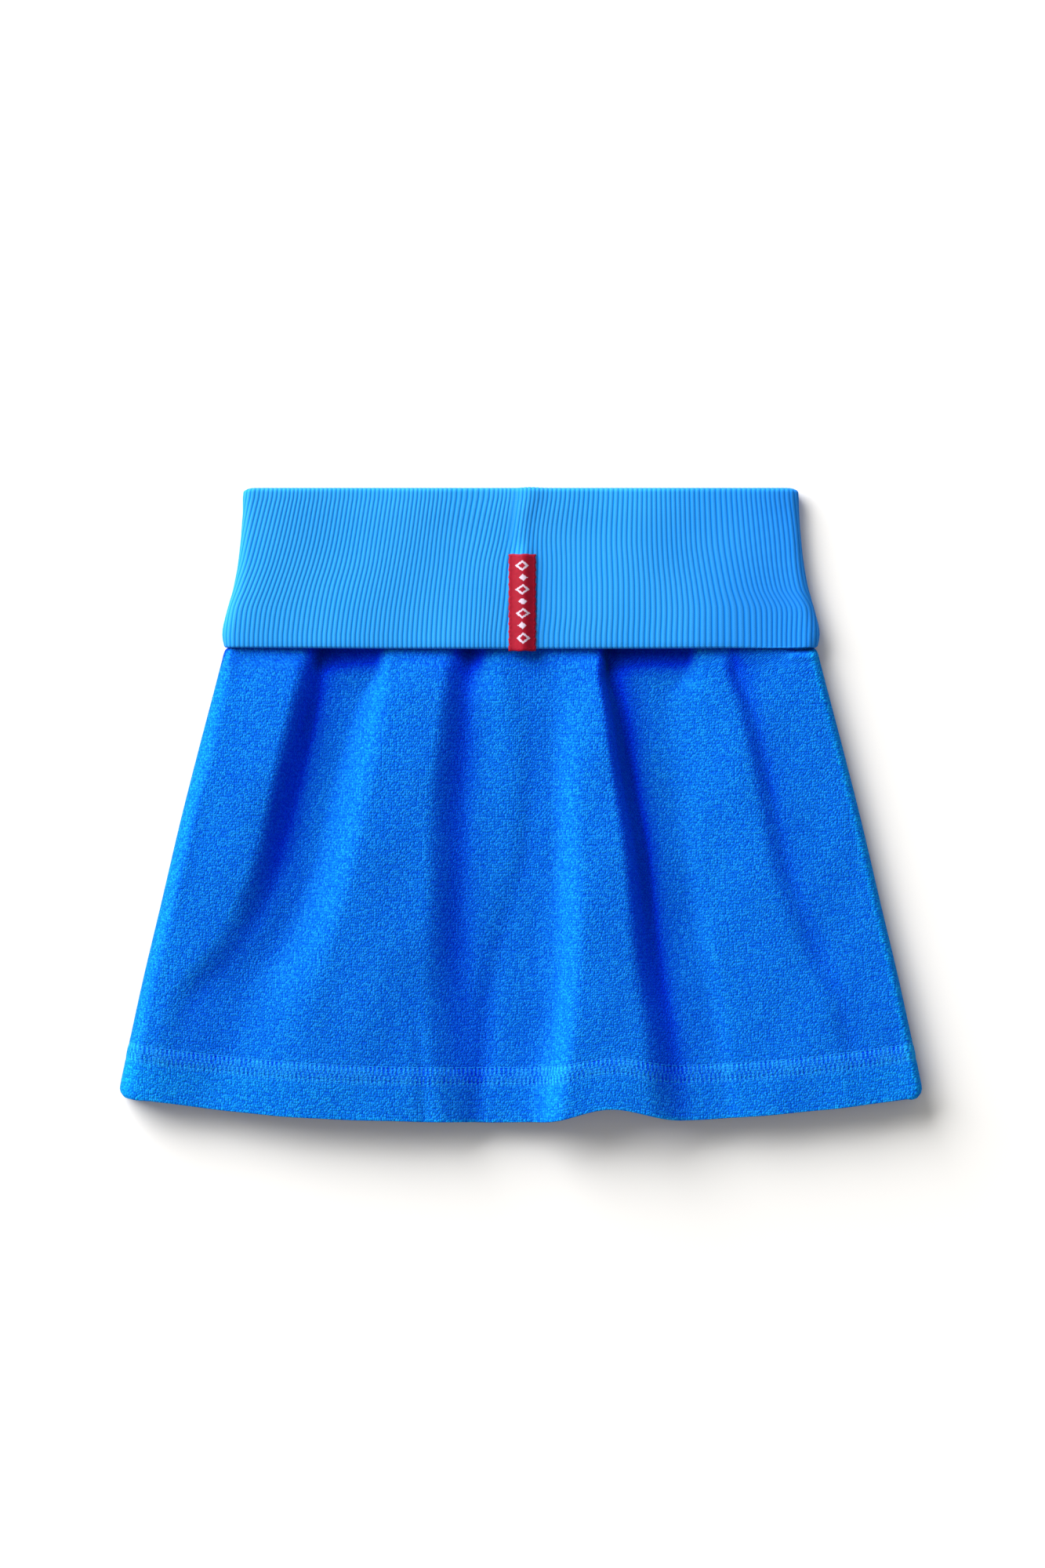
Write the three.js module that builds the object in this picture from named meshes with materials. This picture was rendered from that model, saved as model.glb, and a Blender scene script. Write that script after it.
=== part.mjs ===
// A child's pull-on mini skirt, laid flat: two terry panels, a folded-over rib waistband and a sewn-on label.
// Millimetres. X runs across the skirt, Y up its length from hem to waist, Z up from the surface it lies on.
import * as THREE from 'three';

// Cloth thicknesses and the clearance between pieces at a seam.
const terryWall = 2;
const ribWall = 1.8;
const seamGap = 0.3;

// Levels on the centre front.
const waistY = 135;
const bandLowerY = 66.7;
const joinY = 78.5;
const hemY = -136;

// Hem: cloth turned under, its two stitch rows above the edge, and how far it rises towards the sides.
const hemDepth = 23;
const lowerStitch = 16;
const stitchGroove = 0.35;
const hemFill = 1.2;
const hemSideRise = 10.6;
const hemSideReach = 167;
const hemCurvePower = 2.7;
const hemCornerRadius = 3.8;

// The lifted stretch of the hem under the large pleat.
const arch = { from: 11, to: 64, leftRun: 18, rightRun: 16, height: 5, startY: -60, fullY: -136 };

// How much the back panel's hem is pulled up under the front's.
const backHemShort = 7;

// Waistband: its folded edge, the levels of its layers, and how the front layer swells at its foot.
const bandCornerRadius = 3;
const foldRadius = 1.95;
const frontFoldZ = 6.25;
const backFoldZ = foldRadius;
const bandFootRise = 2.9;
const bandRiseFromY = 100;
const bandCrown = 0.8;
const bandFootSag = 0.6;
const bandFaceLevels = [67.5, 76, 88, 102, 118];

// Steps of the band's plain faces across one half, and round its side.
const flatSteps = 8;
const bendSteps = 3;

// Ribs of the band's front, and the ridge of its centre seam.
const ribsLeft = 63;
const ribsRight = 55;
const ribCrest = 0.25;
const ribGroove = 0.3;
const seamRidge = { height: 1, labelHeight: 1.6, width: 2.6, labelWidth: 4, x: 1.2, topX: 4 };

// Label: a woven tape sewn flat over the seam.
const label = { x: 0.6, width: 11.6, topY: 106.5, lowerY: 65.7, thickness: 0.9, clearance: 0.45 };

// Half width of the garment's outline at each height.
const bandOutline = [
  { y: 66.7, half: 126.5 },
  { y: 69, half: 127.2 },
  { y: 72, half: 127.6 },
  { y: 74, half: 127.5 },
  { y: 84, half: 125.1 },
  { y: 94, half: 122.4 },
  { y: 109, half: 120.1 },
  { y: 129, half: 118.8 },
  { y: 136, half: 118.8 },
];
const skirtOutline = [
  { y: -125, half: 172.4 },
  { y: -117, half: 170.9 },
  { y: -100, half: 167.3 },
  { y: -75, half: 161.8 },
  { y: -42, half: 153.9 },
  { y: -8, half: 145.9 },
  { y: 25, half: 137.5 },
  { y: 50, half: 130.9 },
  { y: 60, half: 128.3 },
  { y: 63.2, half: 127.3 },
  { y: 65.4, half: 123.6 },
  { y: 66.4, half: 121.3 },
  { y: 79, half: 121.3 },
];

// Folds of the front panel, left to right: where each crest or trough lies across the skirt, and how high the
// middle of the cloth stands there, at the heights in foldRows.
const foldRows = [78.5, 64.5, 42, 8, -25, -58, -92, -134];
const folds = [
  { fold: 'roll', x: [-91, -91, -95, -105, -116, -131, -148, -154], z: [5.9, 8, 12, 14, 13, 12, 11, 10.5] },
  { fold: 'dip', x: [-79, -79, -84, -92, -101, -114, -134, -145], z: [5.9, 6, 4.4, 4.6, 5, 6, 7.6, 9] },
  { fold: 'left rise', x: [-65, -65, -73, -81, -91, -104, -121, -134], z: [5.9, 6, 5, 5.5, 6, 7, 8, 8.8] },
  { fold: 'flat', x: [-53, -53, -56, -62, -70, -80, -90, -96], z: [5.9, 8, 12, 13, 13, 12.5, 12, 11] },
  { fold: 'edge', x: [-32, -32, -35, -40, -42, -40, -35, -32], z: [5.9, 8, 12, 13.2, 13.6, 13.5, 12.5, 11] },
  { fold: 'valley', x: [-16, -16, -20, -22, -23, -21, -15, -12], z: [5.9, 6, 8, 8.5, 8.5, 8, 7.4, 6.5] },
  { fold: 'middle swell', x: [-2, -2, -1, -2, -5, -13, -8, -5], z: [5.9, 8, 10.4, 11, 11, 9.4, 8, 7] },
  { fold: 'middle fall', x: [8, 8, 10, 10, 8, 0, 0, 1], z: [5.9, 7.2, 8.6, 8.8, 8.8, 8.3, 8.2, 8] },
  { fold: 'pleat foot', x: [13, 13, 15, 17.5, 18, 16, 14, 8], z: [5.9, 7, 8, 8, 8, 8.3, 8.7, 9] },
  { fold: 'pleat rise', x: [22, 22, 24, 26, 27, 25, 23, 20], z: [5.9, 8, 12, 14, 14.8, 15, 15, 15.3] },
  { fold: 'pleat crest', x: [35, 35, 37, 41.5, 47, 51.5, 57.5, 63], z: [5.9, 8, 13, 15, 16, 16, 16, 16.5] },
  { fold: 'pleat drop', x: [39.5, 39.5, 42, 47, 54, 60, 68, 76], z: [5.9, 6, 4.2, 4.2, 4.4, 5, 6, 8] },
  { fold: 'pleat floor', x: [64, 64, 57, 58, 65, 71, 76, 83], z: [5.9, 6, 5.2, 5.2, 5.8, 6.6, 7.6, 9.2] },
  { fold: 'right swell', x: [75, 75, 77, 78, 79, 81, 85, 92], z: [5.9, 8, 9.4, 9.4, 9.4, 9.6, 10.2, 10.8] },
  { fold: 'crest', x: [88, 88, 92, 100, 106, 115, 130, 139], z: [5.9, 8, 10.5, 11, 11, 10.8, 10.6, 10.8] },
  { fold: 'right fall', x: [96, 96, 101, 109, 116, 125, 139, 149], z: [5.9, 7, 7.8, 8, 8, 8, 8.8, 9.8] },
];
const leftShoulderZ = [5.9, 7.6, 9.5, 11, 11, 10.5, 10, 10];
const rightShoulderZ = [5.9, 7.6, 9, 9.5, 9.5, 9.5, 9.5, 9.5];

// Columns of the front's mesh between one fold line and the next, from the left shoulder to the right one.
const foldSteps = [3, 3, 1, 2, 2, 3, 2, 1, 1, 2, 2, 3, 1, 2, 2, 2, 3];
const edgeSteps = 4;

// Shape-preserving cubic through a short table: it never swings past the values given.
function curve(xs, ys) {
  const rise = xs.slice(1).map((x, i) => (ys[i + 1] - ys[i]) / (x - xs[i]));
  const slope = xs.map((_, i) => {
    if (i === 0) return rise[0];
    if (i === xs.length - 1) return rise[i - 1];
    const before = rise[i - 1];
    const after = rise[i];
    return before * after <= 0 ? 0 : (2 * before * after) / (before + after);
  });
  return (x) => {
    let i = 0;
    while (i < xs.length - 2 && x > xs[i + 1]) i += 1;
    const width = xs[i + 1] - xs[i];
    const t = THREE.MathUtils.clamp((x - xs[i]) / width, 0, 1);
    const t2 = t * t;
    const t3 = t2 * t;
    return (2 * t3 - 3 * t2 + 1) * ys[i] + (t3 - 2 * t2 + t) * width * slope[i]
      + (3 * t2 - 2 * t3) * ys[i + 1] + (t3 - t2) * width * slope[i + 1];
  };
}

const smooth = (t) => THREE.MathUtils.smoothstep(t, 0, 1);
const bell = (x, width) => Math.exp(-((x / width) ** 2));
const column = (rows, key) => rows.map((row) => row[key]);
const bandHalfAt = curve(column(bandOutline, 'y'), column(bandOutline, 'half'));
const skirtHalfAt = curve(column(skirtOutline, 'y'), column(skirtOutline, 'half'));

// One closed body from an outer and an inner sheet of points with the same rows and columns.
function wallGeometry(outer, inner) {
  const rows = outer.length;
  const columns = outer[0].length;
  const points = [...outer.flat(), ...inner.flat()];
  const at = (r, c, side) => side * rows * columns + r * columns + c;
  const triangles = [];
  const quad = (a, b, c, d) => triangles.push([a, b, c], [a, c, d]);
  for (let r = 0; r < rows - 1; r += 1) {
    for (let c = 0; c < columns - 1; c += 1) {
      quad(at(r, c, 0), at(r, c + 1, 0), at(r + 1, c + 1, 0), at(r + 1, c, 0));
      quad(at(r, c, 1), at(r + 1, c, 1), at(r + 1, c + 1, 1), at(r, c + 1, 1));
    }
    quad(at(r, 0, 0), at(r + 1, 0, 0), at(r + 1, 0, 1), at(r, 0, 1));
    quad(at(r, columns - 1, 0), at(r, columns - 1, 1), at(r + 1, columns - 1, 1), at(r + 1, columns - 1, 0));
  }
  for (let c = 0; c < columns - 1; c += 1) {
    quad(at(0, c, 0), at(0, c, 1), at(0, c + 1, 1), at(0, c + 1, 0));
    quad(at(rows - 1, c, 0), at(rows - 1, c + 1, 0), at(rows - 1, c + 1, 1), at(rows - 1, c, 1));
  }
  return closedGeometry(points, triangles);
}

// Indexed geometry with its faces turned outwards.
function closedGeometry(points, triangles) {
  const volume = triangles.reduce((sum, [a, b, c]) => {
    const cross = new THREE.Vector3().crossVectors(points[b], points[c]);
    return sum + points[a].dot(cross) / 6;
  }, 0);
  const faces = volume > 0 ? triangles : triangles.map(([a, b, c]) => [a, c, b]);
  const geometry = new THREE.BufferGeometry();
  geometry.setAttribute('position', new THREE.Float32BufferAttribute(points.flatMap((p) => p.toArray()), 3));
  geometry.setIndex(faces.flat());
  geometry.computeVertexNormals();
  return geometry;
}

// How far the hem's curve and its lifted stretch raise a point, by its place across and its level.
function hemLift(x, level) {
  const share = THREE.MathUtils.clamp((joinY - level) / (joinY - hemY - hemDepth), 0, 1);
  const sides = hemSideRise * (Math.abs(x) / hemSideReach) ** hemCurvePower;
  const reach = smooth((arch.startY - level) / (arch.startY - arch.fullY));
  const lifted = smooth((x - arch.from) / arch.leftRun) * smooth((arch.to - x) / arch.rightRun);
  return share * sides + reach * arch.height * lifted;
}

// Half width of a panel's row, rounded off at the hem's corners.
function rowHalf(level) {
  const sideY = level + hemLift(skirtHalfAt(level), level);
  const cornerY = hemY + hemLift(skirtHalfAt(-125), hemY);
  const above = THREE.MathUtils.clamp(sideY - cornerY, 0, hemCornerRadius);
  const cut = hemCornerRadius - Math.sqrt(hemCornerRadius ** 2 - (hemCornerRadius - above) ** 2);
  return skirtHalfAt(sideY) - cut;
}

// The back panel lies on the floor and climbs onto the band's lowest layer at the waist.
const backLift = (level) => (ribWall + seamGap) * smooth((level - 61.5) / 4.7);
const hemShare = (level) => smooth((hemY + hemDepth + 0.8 - level) / 1.6);
const backTopZ = (level) => terryWall + backLift(level) + hemFill * hemShare(level);

// Middle of the front panel's cloth along one row, from its left edge to its right one.
function frontRow(level) {
  const half = rowHalf(level);
  const turn = 4 + 5 * smooth((64 - level) / 20);
  const footZ = Math.max(backTopZ(level), backTopZ(level - 2.5)) + 0.35 + 0.15 * smooth((level - 61.5) / 4.7);
  const shoulderX = half - terryWall / 2 - turn;
  const leftZ = curve([...foldRows].reverse(), [...leftShoulderZ].reverse())(level);
  const rightZ = curve([...foldRows].reverse(), [...rightShoulderZ].reverse())(level);
  const crestX = folds.map((row) => curve([...foldRows].reverse(), [...row.x].reverse())(level));
  const crestZ = folds.map((row) => curve([...foldRows].reverse(), [...row.z].reverse())(level));
  const knotX = [-shoulderX, ...crestX, shoulderX];
  const heightAt = curve(knotX, [leftZ, ...crestZ, rightZ]);
  const row = [];
  for (let k = edgeSteps; k > 0; k -= 1) {
    const angle = (k / edgeSteps) * Math.PI / 2;
    row.push([-shoulderX - turn * Math.sin(angle), footZ + (leftZ - footZ) * Math.cos(angle)]);
  }
  foldSteps.forEach((steps, i) => {
    for (let k = 0; k < steps; k += 1) {
      const x = THREE.MathUtils.lerp(knotX[i], knotX[i + 1], k / steps);
      row.push([x, heightAt(x)]);
    }
  });
  for (let k = 0; k <= edgeSteps; k += 1) {
    const angle = (k / edgeSteps) * Math.PI / 2;
    row.push([shoulderX + turn * Math.sin(angle), footZ + (rightZ - footZ) * Math.cos(angle)]);
  }
  return row.map(([x, z]) => new THREE.Vector3(x, level + hemLift(x, level), z));
}

// Outward direction of a sheet of points at one of them.
function sheetNormal(sheet, r, c) {
  const rows = sheet.length;
  const columns = sheet[0].length;
  const across = sheet[r][Math.min(c + 1, columns - 1)].clone().sub(sheet[r][Math.max(c - 1, 0)]);
  const along = sheet[Math.max(r - 1, 0)][c].clone().sub(sheet[Math.min(r + 1, rows - 1)][c]);
  if (c === 0 || c === columns - 1) across.set(0, 0, c === 0 ? 1 : -1);
  return across.cross(along).normalize();
}

// Front panel: a wall about the folded sheet, thicker over the turned hem and rounded at its edge.
function frontPanel() {
  const stitchRows = [hemDepth + 2, hemDepth, (hemDepth + lowerStitch) / 2, lowerStitch, lowerStitch - 2];
  const levels = [joinY, 74, 70, 67, 65.2, 63.5, 60, 54, 46, 36, 24, 12, 0, -12, -25, -38, -51, -64, -76,
    -88, -100, ...stitchRows.map((d) => hemY + d), hemY + 7, hemY + 1.1, hemY];
  const sheet = levels.map(frontRow);
  const grooves = new Set([hemY + hemDepth, hemY + lowerStitch]);
  const outer = [];
  const inner = [];
  levels.forEach((level, r) => {
    const rim = level === hemY ? 0.45 : 1;
    const groove = grooves.has(level) ? stitchGroove : 0;
    const thickness = terryWall + hemFill * hemShare(level);
    const normals = sheet[r].map((_, c) => sheetNormal(sheet, r, c));
    const under = terryWall / 2 - thickness;
    const middle = (terryWall / 2 + under) / 2;
    const outwards = middle + (terryWall / 2 - middle) * rim - groove;
    const inwards = middle + (under - middle) * rim;
    outer.push(sheet[r].map((p, c) => p.clone().addScaledVector(normals[c], outwards)));
    inner.push(sheet[r].map((p, c) => p.clone().addScaledVector(normals[c], inwards)));
  });
  return wallGeometry(outer, inner);
}

// Back panel: flat on the floor, with rounded edges, its hem a little above the front's.
function backPanel() {
  const levels = [joinY, 72, 67.5, 66, 64.5, 63, 61, 40, 10, -20, -50, -80, -108,
    hemY + hemDepth + 1, hemY + hemDepth - 1, -128, hemY + 1, hemY];
  const across = [-1, -0.8, -0.6, -0.4, -0.2, 0, 0.2, 0.4, 0.6, 0.8, 1];
  const rimWidth = 0.8;
  const rimThickness = 0.8;
  const outer = [];
  const inner = [];
  levels.forEach((level) => {
    const half = rowHalf(level) - seamGap;
    const places = [-half, ...across.map((u) => u * (half - rimWidth)), half];
    const base = backLift(level);
    const top = backTopZ(level);
    const topRow = [];
    const lowRow = [];
    places.forEach((x, c) => {
      const share = smooth((-40 - level) / (-40 - hemY));
      const shortened = backHemShort * share * (1 - (x / half) ** 4);
      const sides = hemLift(x, level) - hemLiftArch(x, level);
      const rim = c === 0 || c === places.length - 1 || level === hemY;
      const inset = rim ? (terryWall - rimThickness) / 2 : 0;
      topRow.push(new THREE.Vector3(x, level + sides + shortened, top - inset));
      lowRow.push(new THREE.Vector3(x, level + sides + shortened, base + inset));
    });
    outer.push(topRow);
    inner.push(lowRow);
  });
  return wallGeometry(outer, inner);
}

// The share of the hem's lift that belongs to the front's raised stretch alone.
function hemLiftArch(x, level) {
  const reach = smooth((arch.startY - level) / (arch.startY - arch.fullY));
  return reach * arch.height * smooth((x - arch.from) / arch.leftRun) * smooth((arch.to - x) / arch.rightRun);
}

// Height of the band's front face without its ribs.
function bandFaceZ(y) {
  return frontFoldZ + foldRadius + bandFootRise * smooth((bandRiseFromY - y) / (bandRiseFromY - bandLowerY));
}

// Ridge that the seam allowances raise along the centre front.
function ridgeAt(x, y) {
  const onLabel = smooth((label.topY + 6 - y) / 8);
  const nearTop = smooth((y - 120) / 14);
  const height = THREE.MathUtils.lerp(seamRidge.height, seamRidge.labelHeight, onLabel);
  const width = THREE.MathUtils.lerp(seamRidge.width, seamRidge.labelWidth, onLabel);
  return height * bell(x - THREE.MathUtils.lerp(seamRidge.x, seamRidge.topX, nearTop), width + nearTop * 2);
}

// Half width of the band at a height, rounded at its top corners.
function bandHalf(y) {
  const above = THREE.MathUtils.clamp(y - (waistY - bandCornerRadius), 0, bandCornerRadius);
  return bandHalfAt(y) - (bandCornerRadius - Math.sqrt(bandCornerRadius ** 2 - above ** 2));
}

// How far the foot of the band's front hangs below its corners.
function sagAt(y, s) {
  return bandFootSag * smooth((bandLowerY + 12 - y) / 12) * (1 - s * s);
}

// A flattened ring of the band: points over its front from left to right, then back under it.
function bandRing({ y, inset, frontZ, backZ, ribbed = false, raised = false, lean = 0 }) {
  const half = bandHalf(y) - inset;
  const radius = (frontZ - backZ) / 2;
  const middleZ = (frontZ + backZ) / 2;
  const flat = half - radius;
  const length = flat + radius * Math.PI / 2;
  const plain = [];
  for (let k = 0; k < flatSteps; k += 1) plain.push((k / flatSteps) * flat);
  for (let k = 0; k <= bendSteps; k += 1) plain.push(flat + (k / bendSteps) * radius * Math.PI / 2);
  const across = [...plain.slice(1).reverse().map((run) => -run), ...plain].map((run) => run / length);
  const ribbedAcross = [];
  for (let k = 0; k < ribsLeft * 2; k += 1) ribbedAcross.push(k / (ribsLeft * 2) - 1);
  for (let k = 0; k <= ribsRight * 2; k += 1) ribbedAcross.push(k / (ribsRight * 2));
  const places = [
    ...(ribbed ? ribbedAcross : across).map((s, rib) => ({ s, front: true, rib })),
    ...across.slice(1, -1).reverse().map((s) => ({ s, front: false, rib: 0 })),
  ];
  return places.map(({ s, front, rib }) => {
    const run = Math.abs(s) * length;
    const angle = Math.max(0, run - flat) / radius;
    const side = Math.sign(s);
    const bendX = Math.sin(angle);
    const bendZ = Math.cos(angle) * (front ? 1 : -1);
    const relief = ribbed && front ? (rib % 2 ? ribCrest : -ribGroove) : 0;
    const x = side * (Math.min(run, flat) + radius * bendX);
    const crown = raised && front ? bandCrown * (1 - s * s) * Math.min(1, (waistY - y) / 10) : 0;
    const ridge = raised && front ? ridgeAt(x, y) : 0;
    const out = relief + ridge;
    return {
      t: front ? (s + 1) / 4 : 1 - (s + 1) / 4,
      point: new THREE.Vector3(
        x + side * relief * bendX,
        y - (front ? sagAt(y, s) : 0) + out * Math.sin(lean),
        middleZ + radius * bendZ + (out * Math.cos(lean) + crown) * bendZ,
      ),
    };
  });
}

// Triangles between two closed rings that may have different numbers of points.
function stitchRings(first, second, firstStart, secondStart, triangles) {
  let a = 0;
  let b = 0;
  while (a < first.length || b < second.length) {
    const nextA = a < first.length ? (first[a + 1]?.t ?? 1) : Infinity;
    const nextB = b < second.length ? (second[b + 1]?.t ?? 1) : Infinity;
    const fromA = firstStart + (a % first.length);
    const fromB = secondStart + (b % second.length);
    if (nextA <= nextB) {
      a += 1;
      triangles.push([fromA, firstStart + (a % first.length), fromB]);
    } else {
      b += 1;
      triangles.push([fromA, secondStart + (b % second.length), fromB]);
    }
  }
}

// Waistband: a doubled rib tube turned over at the waist, as one wall round the flattened body.
function waistband() {
  const outerInset = ribWall;
  const innerInset = ribWall + seamGap;
  const lastInset = 2 * foldRadius;
  const halfWall = ribWall / 2;
  const face = (y) => ({ y, inset: 0, frontZ: bandFaceZ(y), backZ: 0, ribbed: true, raised: true });
  const fold = (degrees, radius, options) => {
    const angle = THREE.MathUtils.degToRad(degrees);
    return {
      y: waistY - foldRadius + radius * Math.sin(angle),
      inset: foldRadius - radius * Math.cos(angle),
      frontZ: frontFoldZ + radius * Math.cos(angle),
      backZ: backFoldZ - radius * Math.cos(angle),
      lean: angle,
      ...options,
    };
  };
  const lining = (y) => ({ y, inset: outerInset, frontZ: bandFaceZ(y) - ribWall, backZ: ribWall });
  const inside = (y, inset) => ({ y, inset, frontZ: frontFoldZ + foldRadius - inset, backZ: inset });
  const gapRadius = seamGap / 2;
  const foot = bandLowerY + halfWall;
  const rings = [
    { y: bandLowerY, inset: halfWall, frontZ: bandFaceZ(foot) - halfWall, backZ: halfWall },
    ...bandFaceLevels.map(face),
    fold(0, foldRadius, { ribbed: true, raised: true }),
    fold(35, foldRadius, { ribbed: true, raised: true }),
    fold(70, foldRadius, { ribbed: true, raised: true }),
    fold(110, foldRadius, {}),
    fold(145, foldRadius, {}),
    inside(waistY - foldRadius, lastInset),
    inside(108, lastInset),
    inside(joinY + seamGap, lastInset),
    inside(joinY + seamGap, innerInset),
    inside(108, innerInset),
    inside(waistY - foldRadius, innerInset),
    fold(90, gapRadius, {}),
    lining(waistY - foldRadius),
    ...[118, 100, 90, 80].map(lining),
    lining(bandLowerY + 0.8),
  ].map(bandRing);
  const starts = [];
  rings.reduce((sum, ring) => {
    starts.push(sum);
    return sum + ring.length;
  }, 0);
  const triangles = [];
  rings.forEach((ring, i) => {
    const next = (i + 1) % rings.length;
    stitchRings(ring, rings[next], starts[i], starts[next], triangles);
  });
  return closedGeometry(rings.flat().map((place) => place.point), triangles);
}

// Label: the band's own face moved out, a tape with softly rounded corners.
function labelTape() {
  const across = [-1, -0.9, -0.6, -0.3, 0, 0.3, 0.6, 0.9, 1];
  const onBand = [...bandFaceLevels].reverse().filter((y) => y < label.topY - 0.6);
  const levels = [label.topY, label.topY - 0.6, ...onBand, label.lowerY + 0.6, label.lowerY];
  const outer = [];
  const inner = [];
  levels.forEach((level, r) => {
    const end = r === 0 || r === levels.length - 1;
    const half = label.width / 2 - (end ? 0.5 : 0);
    const face = across.map((u) => {
      const x = label.x + u * half;
      const crown = bandCrown * (1 - (x / bandHalf(level)) ** 2);
      const z = bandFaceZ(level) + crown + ridgeAt(x, level) + ribCrest + label.clearance;
      return new THREE.Vector3(x, level - sagAt(level, x / bandHalf(level)), z);
    });
    const rim = (c) => (end || c === 0 || c === across.length - 1 ? label.thickness / 4 : 0);
    inner.push(face.map((p, c) => p.clone().add(new THREE.Vector3(0, 0, rim(c)))));
    outer.push(face.map((p, c) => p.clone().add(new THREE.Vector3(0, 0, label.thickness - rim(c)))));
  });
  return wallGeometry(outer, inner);
}

const terry = { color: 0x0c76f0, roughness: 0.95, metalness: 0 };
const rib = { color: 0x2fa2f4, roughness: 0.8, metalness: 0 };
const tape = { color: 0xc01f3c, roughness: 0.55, metalness: 0 };

const skirt = new THREE.Group();
function addPiece(name, geometry, finish) {
  const piece = new THREE.Mesh(geometry, new THREE.MeshStandardMaterial(finish));
  piece.name = name;
  skirt.add(piece);
}
addPiece('skirt_front', frontPanel(), terry);
addPiece('skirt_back', backPanel(), terry);
addPiece('waistband', waistband(), rib);
addPiece('label', labelTape(), tape);

export default skirt;
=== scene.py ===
import math

import bpy
import numpy as np
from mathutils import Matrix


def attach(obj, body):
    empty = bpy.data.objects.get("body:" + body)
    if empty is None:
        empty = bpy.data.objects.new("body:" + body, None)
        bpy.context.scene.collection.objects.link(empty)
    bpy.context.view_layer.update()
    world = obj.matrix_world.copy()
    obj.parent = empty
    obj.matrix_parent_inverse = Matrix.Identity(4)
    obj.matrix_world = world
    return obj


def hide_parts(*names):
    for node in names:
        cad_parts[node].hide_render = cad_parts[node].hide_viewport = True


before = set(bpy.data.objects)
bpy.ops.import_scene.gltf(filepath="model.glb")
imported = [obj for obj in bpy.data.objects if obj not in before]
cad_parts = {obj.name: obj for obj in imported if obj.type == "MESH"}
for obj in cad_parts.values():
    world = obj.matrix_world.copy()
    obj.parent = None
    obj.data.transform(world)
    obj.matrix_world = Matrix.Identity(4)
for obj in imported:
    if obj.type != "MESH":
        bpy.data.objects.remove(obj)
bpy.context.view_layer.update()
scene = bpy.context.scene
metre = 0.001  # tables are in millimetres, finished objects in metres

# Sizes that several pieces share: X across the skirt, Y up its length, Z off the surface it lies on
garment = {
    "terryWall": 2, "ribWall": 1.8, "seamGap": 0.3,
    "waistY": 135, "bandLowerY": 66.7, "joinY": 78.5, "hemY": -136,
    "hemDepth": 23, "lowerStitch": 16, "hemFill": 1.2,
    "hemSideRise": 10.6, "hemSideReach": 167, "hemCurvePower": 2.7, "hemCornerRadius": 3.8,
    "backHemShort": 7,
}
arch = {"from": 8, "to": 69, "leftRun": 31, "rightRun": 30, "height": 5.5, "startY": -60, "fullY": -136}

# Half width of the terry panels at each height
skirtOutline = {
    "y": [-125, -117, -100, -75, -42, -8, 25, 50, 60, 64.6, 65.9, 66.7, 79],
    "half": [172.4, 170.9, 167.3, 161.8, 153.9, 145.9, 137.5, 130.9, 128.3, 127, 126, 121.8, 121.3],
}


# Smooth curve through a short table, which never swings past the values given
def curve(xs, ys, at):
    xs = np.asarray(xs, float)
    ys = np.asarray(ys, float)
    rise = np.diff(ys) / np.diff(xs)
    product = rise[:-1] * rise[1:]
    total = np.where(product > 0, rise[:-1] + rise[1:], 1)
    inner = np.where(product > 0, 2 * product / total, 0)
    slope = np.concatenate([rise[:1], inner, rise[-1:]])
    i = np.clip(np.searchsorted(xs, at) - 1, 0, len(xs) - 2)
    width = xs[i + 1] - xs[i]
    t = np.clip((at - xs[i]) / width, 0, 1)
    start = (2 * t**3 - 3 * t**2 + 1) * ys[i] + (t**3 - 2 * t**2 + t) * width * slope[i]
    end = (3 * t**2 - 2 * t**3) * ys[i + 1] + (t**3 - t**2) * width * slope[i + 1]
    return start + end


def smooth(t):
    t = np.clip(t, 0, 1)
    return t * t * (3 - 2 * t)


def bell(x, width):
    return np.exp(-((x / width) ** 2))


# Slow unevenness: a few long waves, each with its height, lengths and start
def unevenness(x, y, waves):
    return sum(height * np.sin(x / across + y / along + start) for height, across, along, start in waves)


def skirtHalf(y):
    return curve(skirtOutline["y"], skirtOutline["half"], y)


def archLift(x, level):
    reach = smooth((arch["startY"] - level) / (arch["startY"] - arch["fullY"]))
    lifted = smooth((x - arch["from"]) / arch["leftRun"]) * smooth((arch["to"] - x) / arch["rightRun"])
    return reach * arch["height"] * lifted


# How far the curve of the hem raises a point, by its place across and its level on the centre line
def hemLift(x, level):
    length = garment["joinY"] - garment["hemY"] - garment["hemDepth"]
    share = np.clip((garment["joinY"] - level) / length, 0, 1)
    sides = garment["hemSideRise"] * (np.abs(x) / garment["hemSideReach"]) ** garment["hemCurvePower"]
    return share * sides + archLift(x, level)


# Half width of a panel's row, rounded off at the hem's corners
def rowHalf(level):
    radius = garment["hemCornerRadius"]
    cornerHalf = skirtHalf(-125)
    sideY = level + hemLift(skirtHalf(level), level)
    cornerY = garment["hemY"] + hemLift(cornerHalf, garment["hemY"])
    above = np.clip(sideY - cornerY, 0, radius)
    return skirtHalf(sideY) - (radius - math.sqrt(radius**2 - (radius - above) ** 2))


# The back panel lies on the floor and climbs onto the band's lowest layer at the waist
def backLift(level):
    return (garment["ribWall"] + garment["seamGap"]) * smooth((level - 61.5) / 4.7)


def hemShare(level):
    return smooth((garment["hemY"] + garment["hemDepth"] + 0.8 - level) / 1.6)


def backTopZ(level):
    return garment["terryWall"] + backLift(level) + garment["hemFill"] * hemShare(level)


# Levels from the join down to the hem, in runs of their own spacing
def levelsThrough(runs, last):
    levels = []
    for (start, step), (end, _) in zip(runs, runs[1:] + [(last, 0)]):
        count = max(1, round((start - end) / step))
        levels += [start + (end - start) * k / count for k in range(count)]
    return levels + [last]


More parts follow.
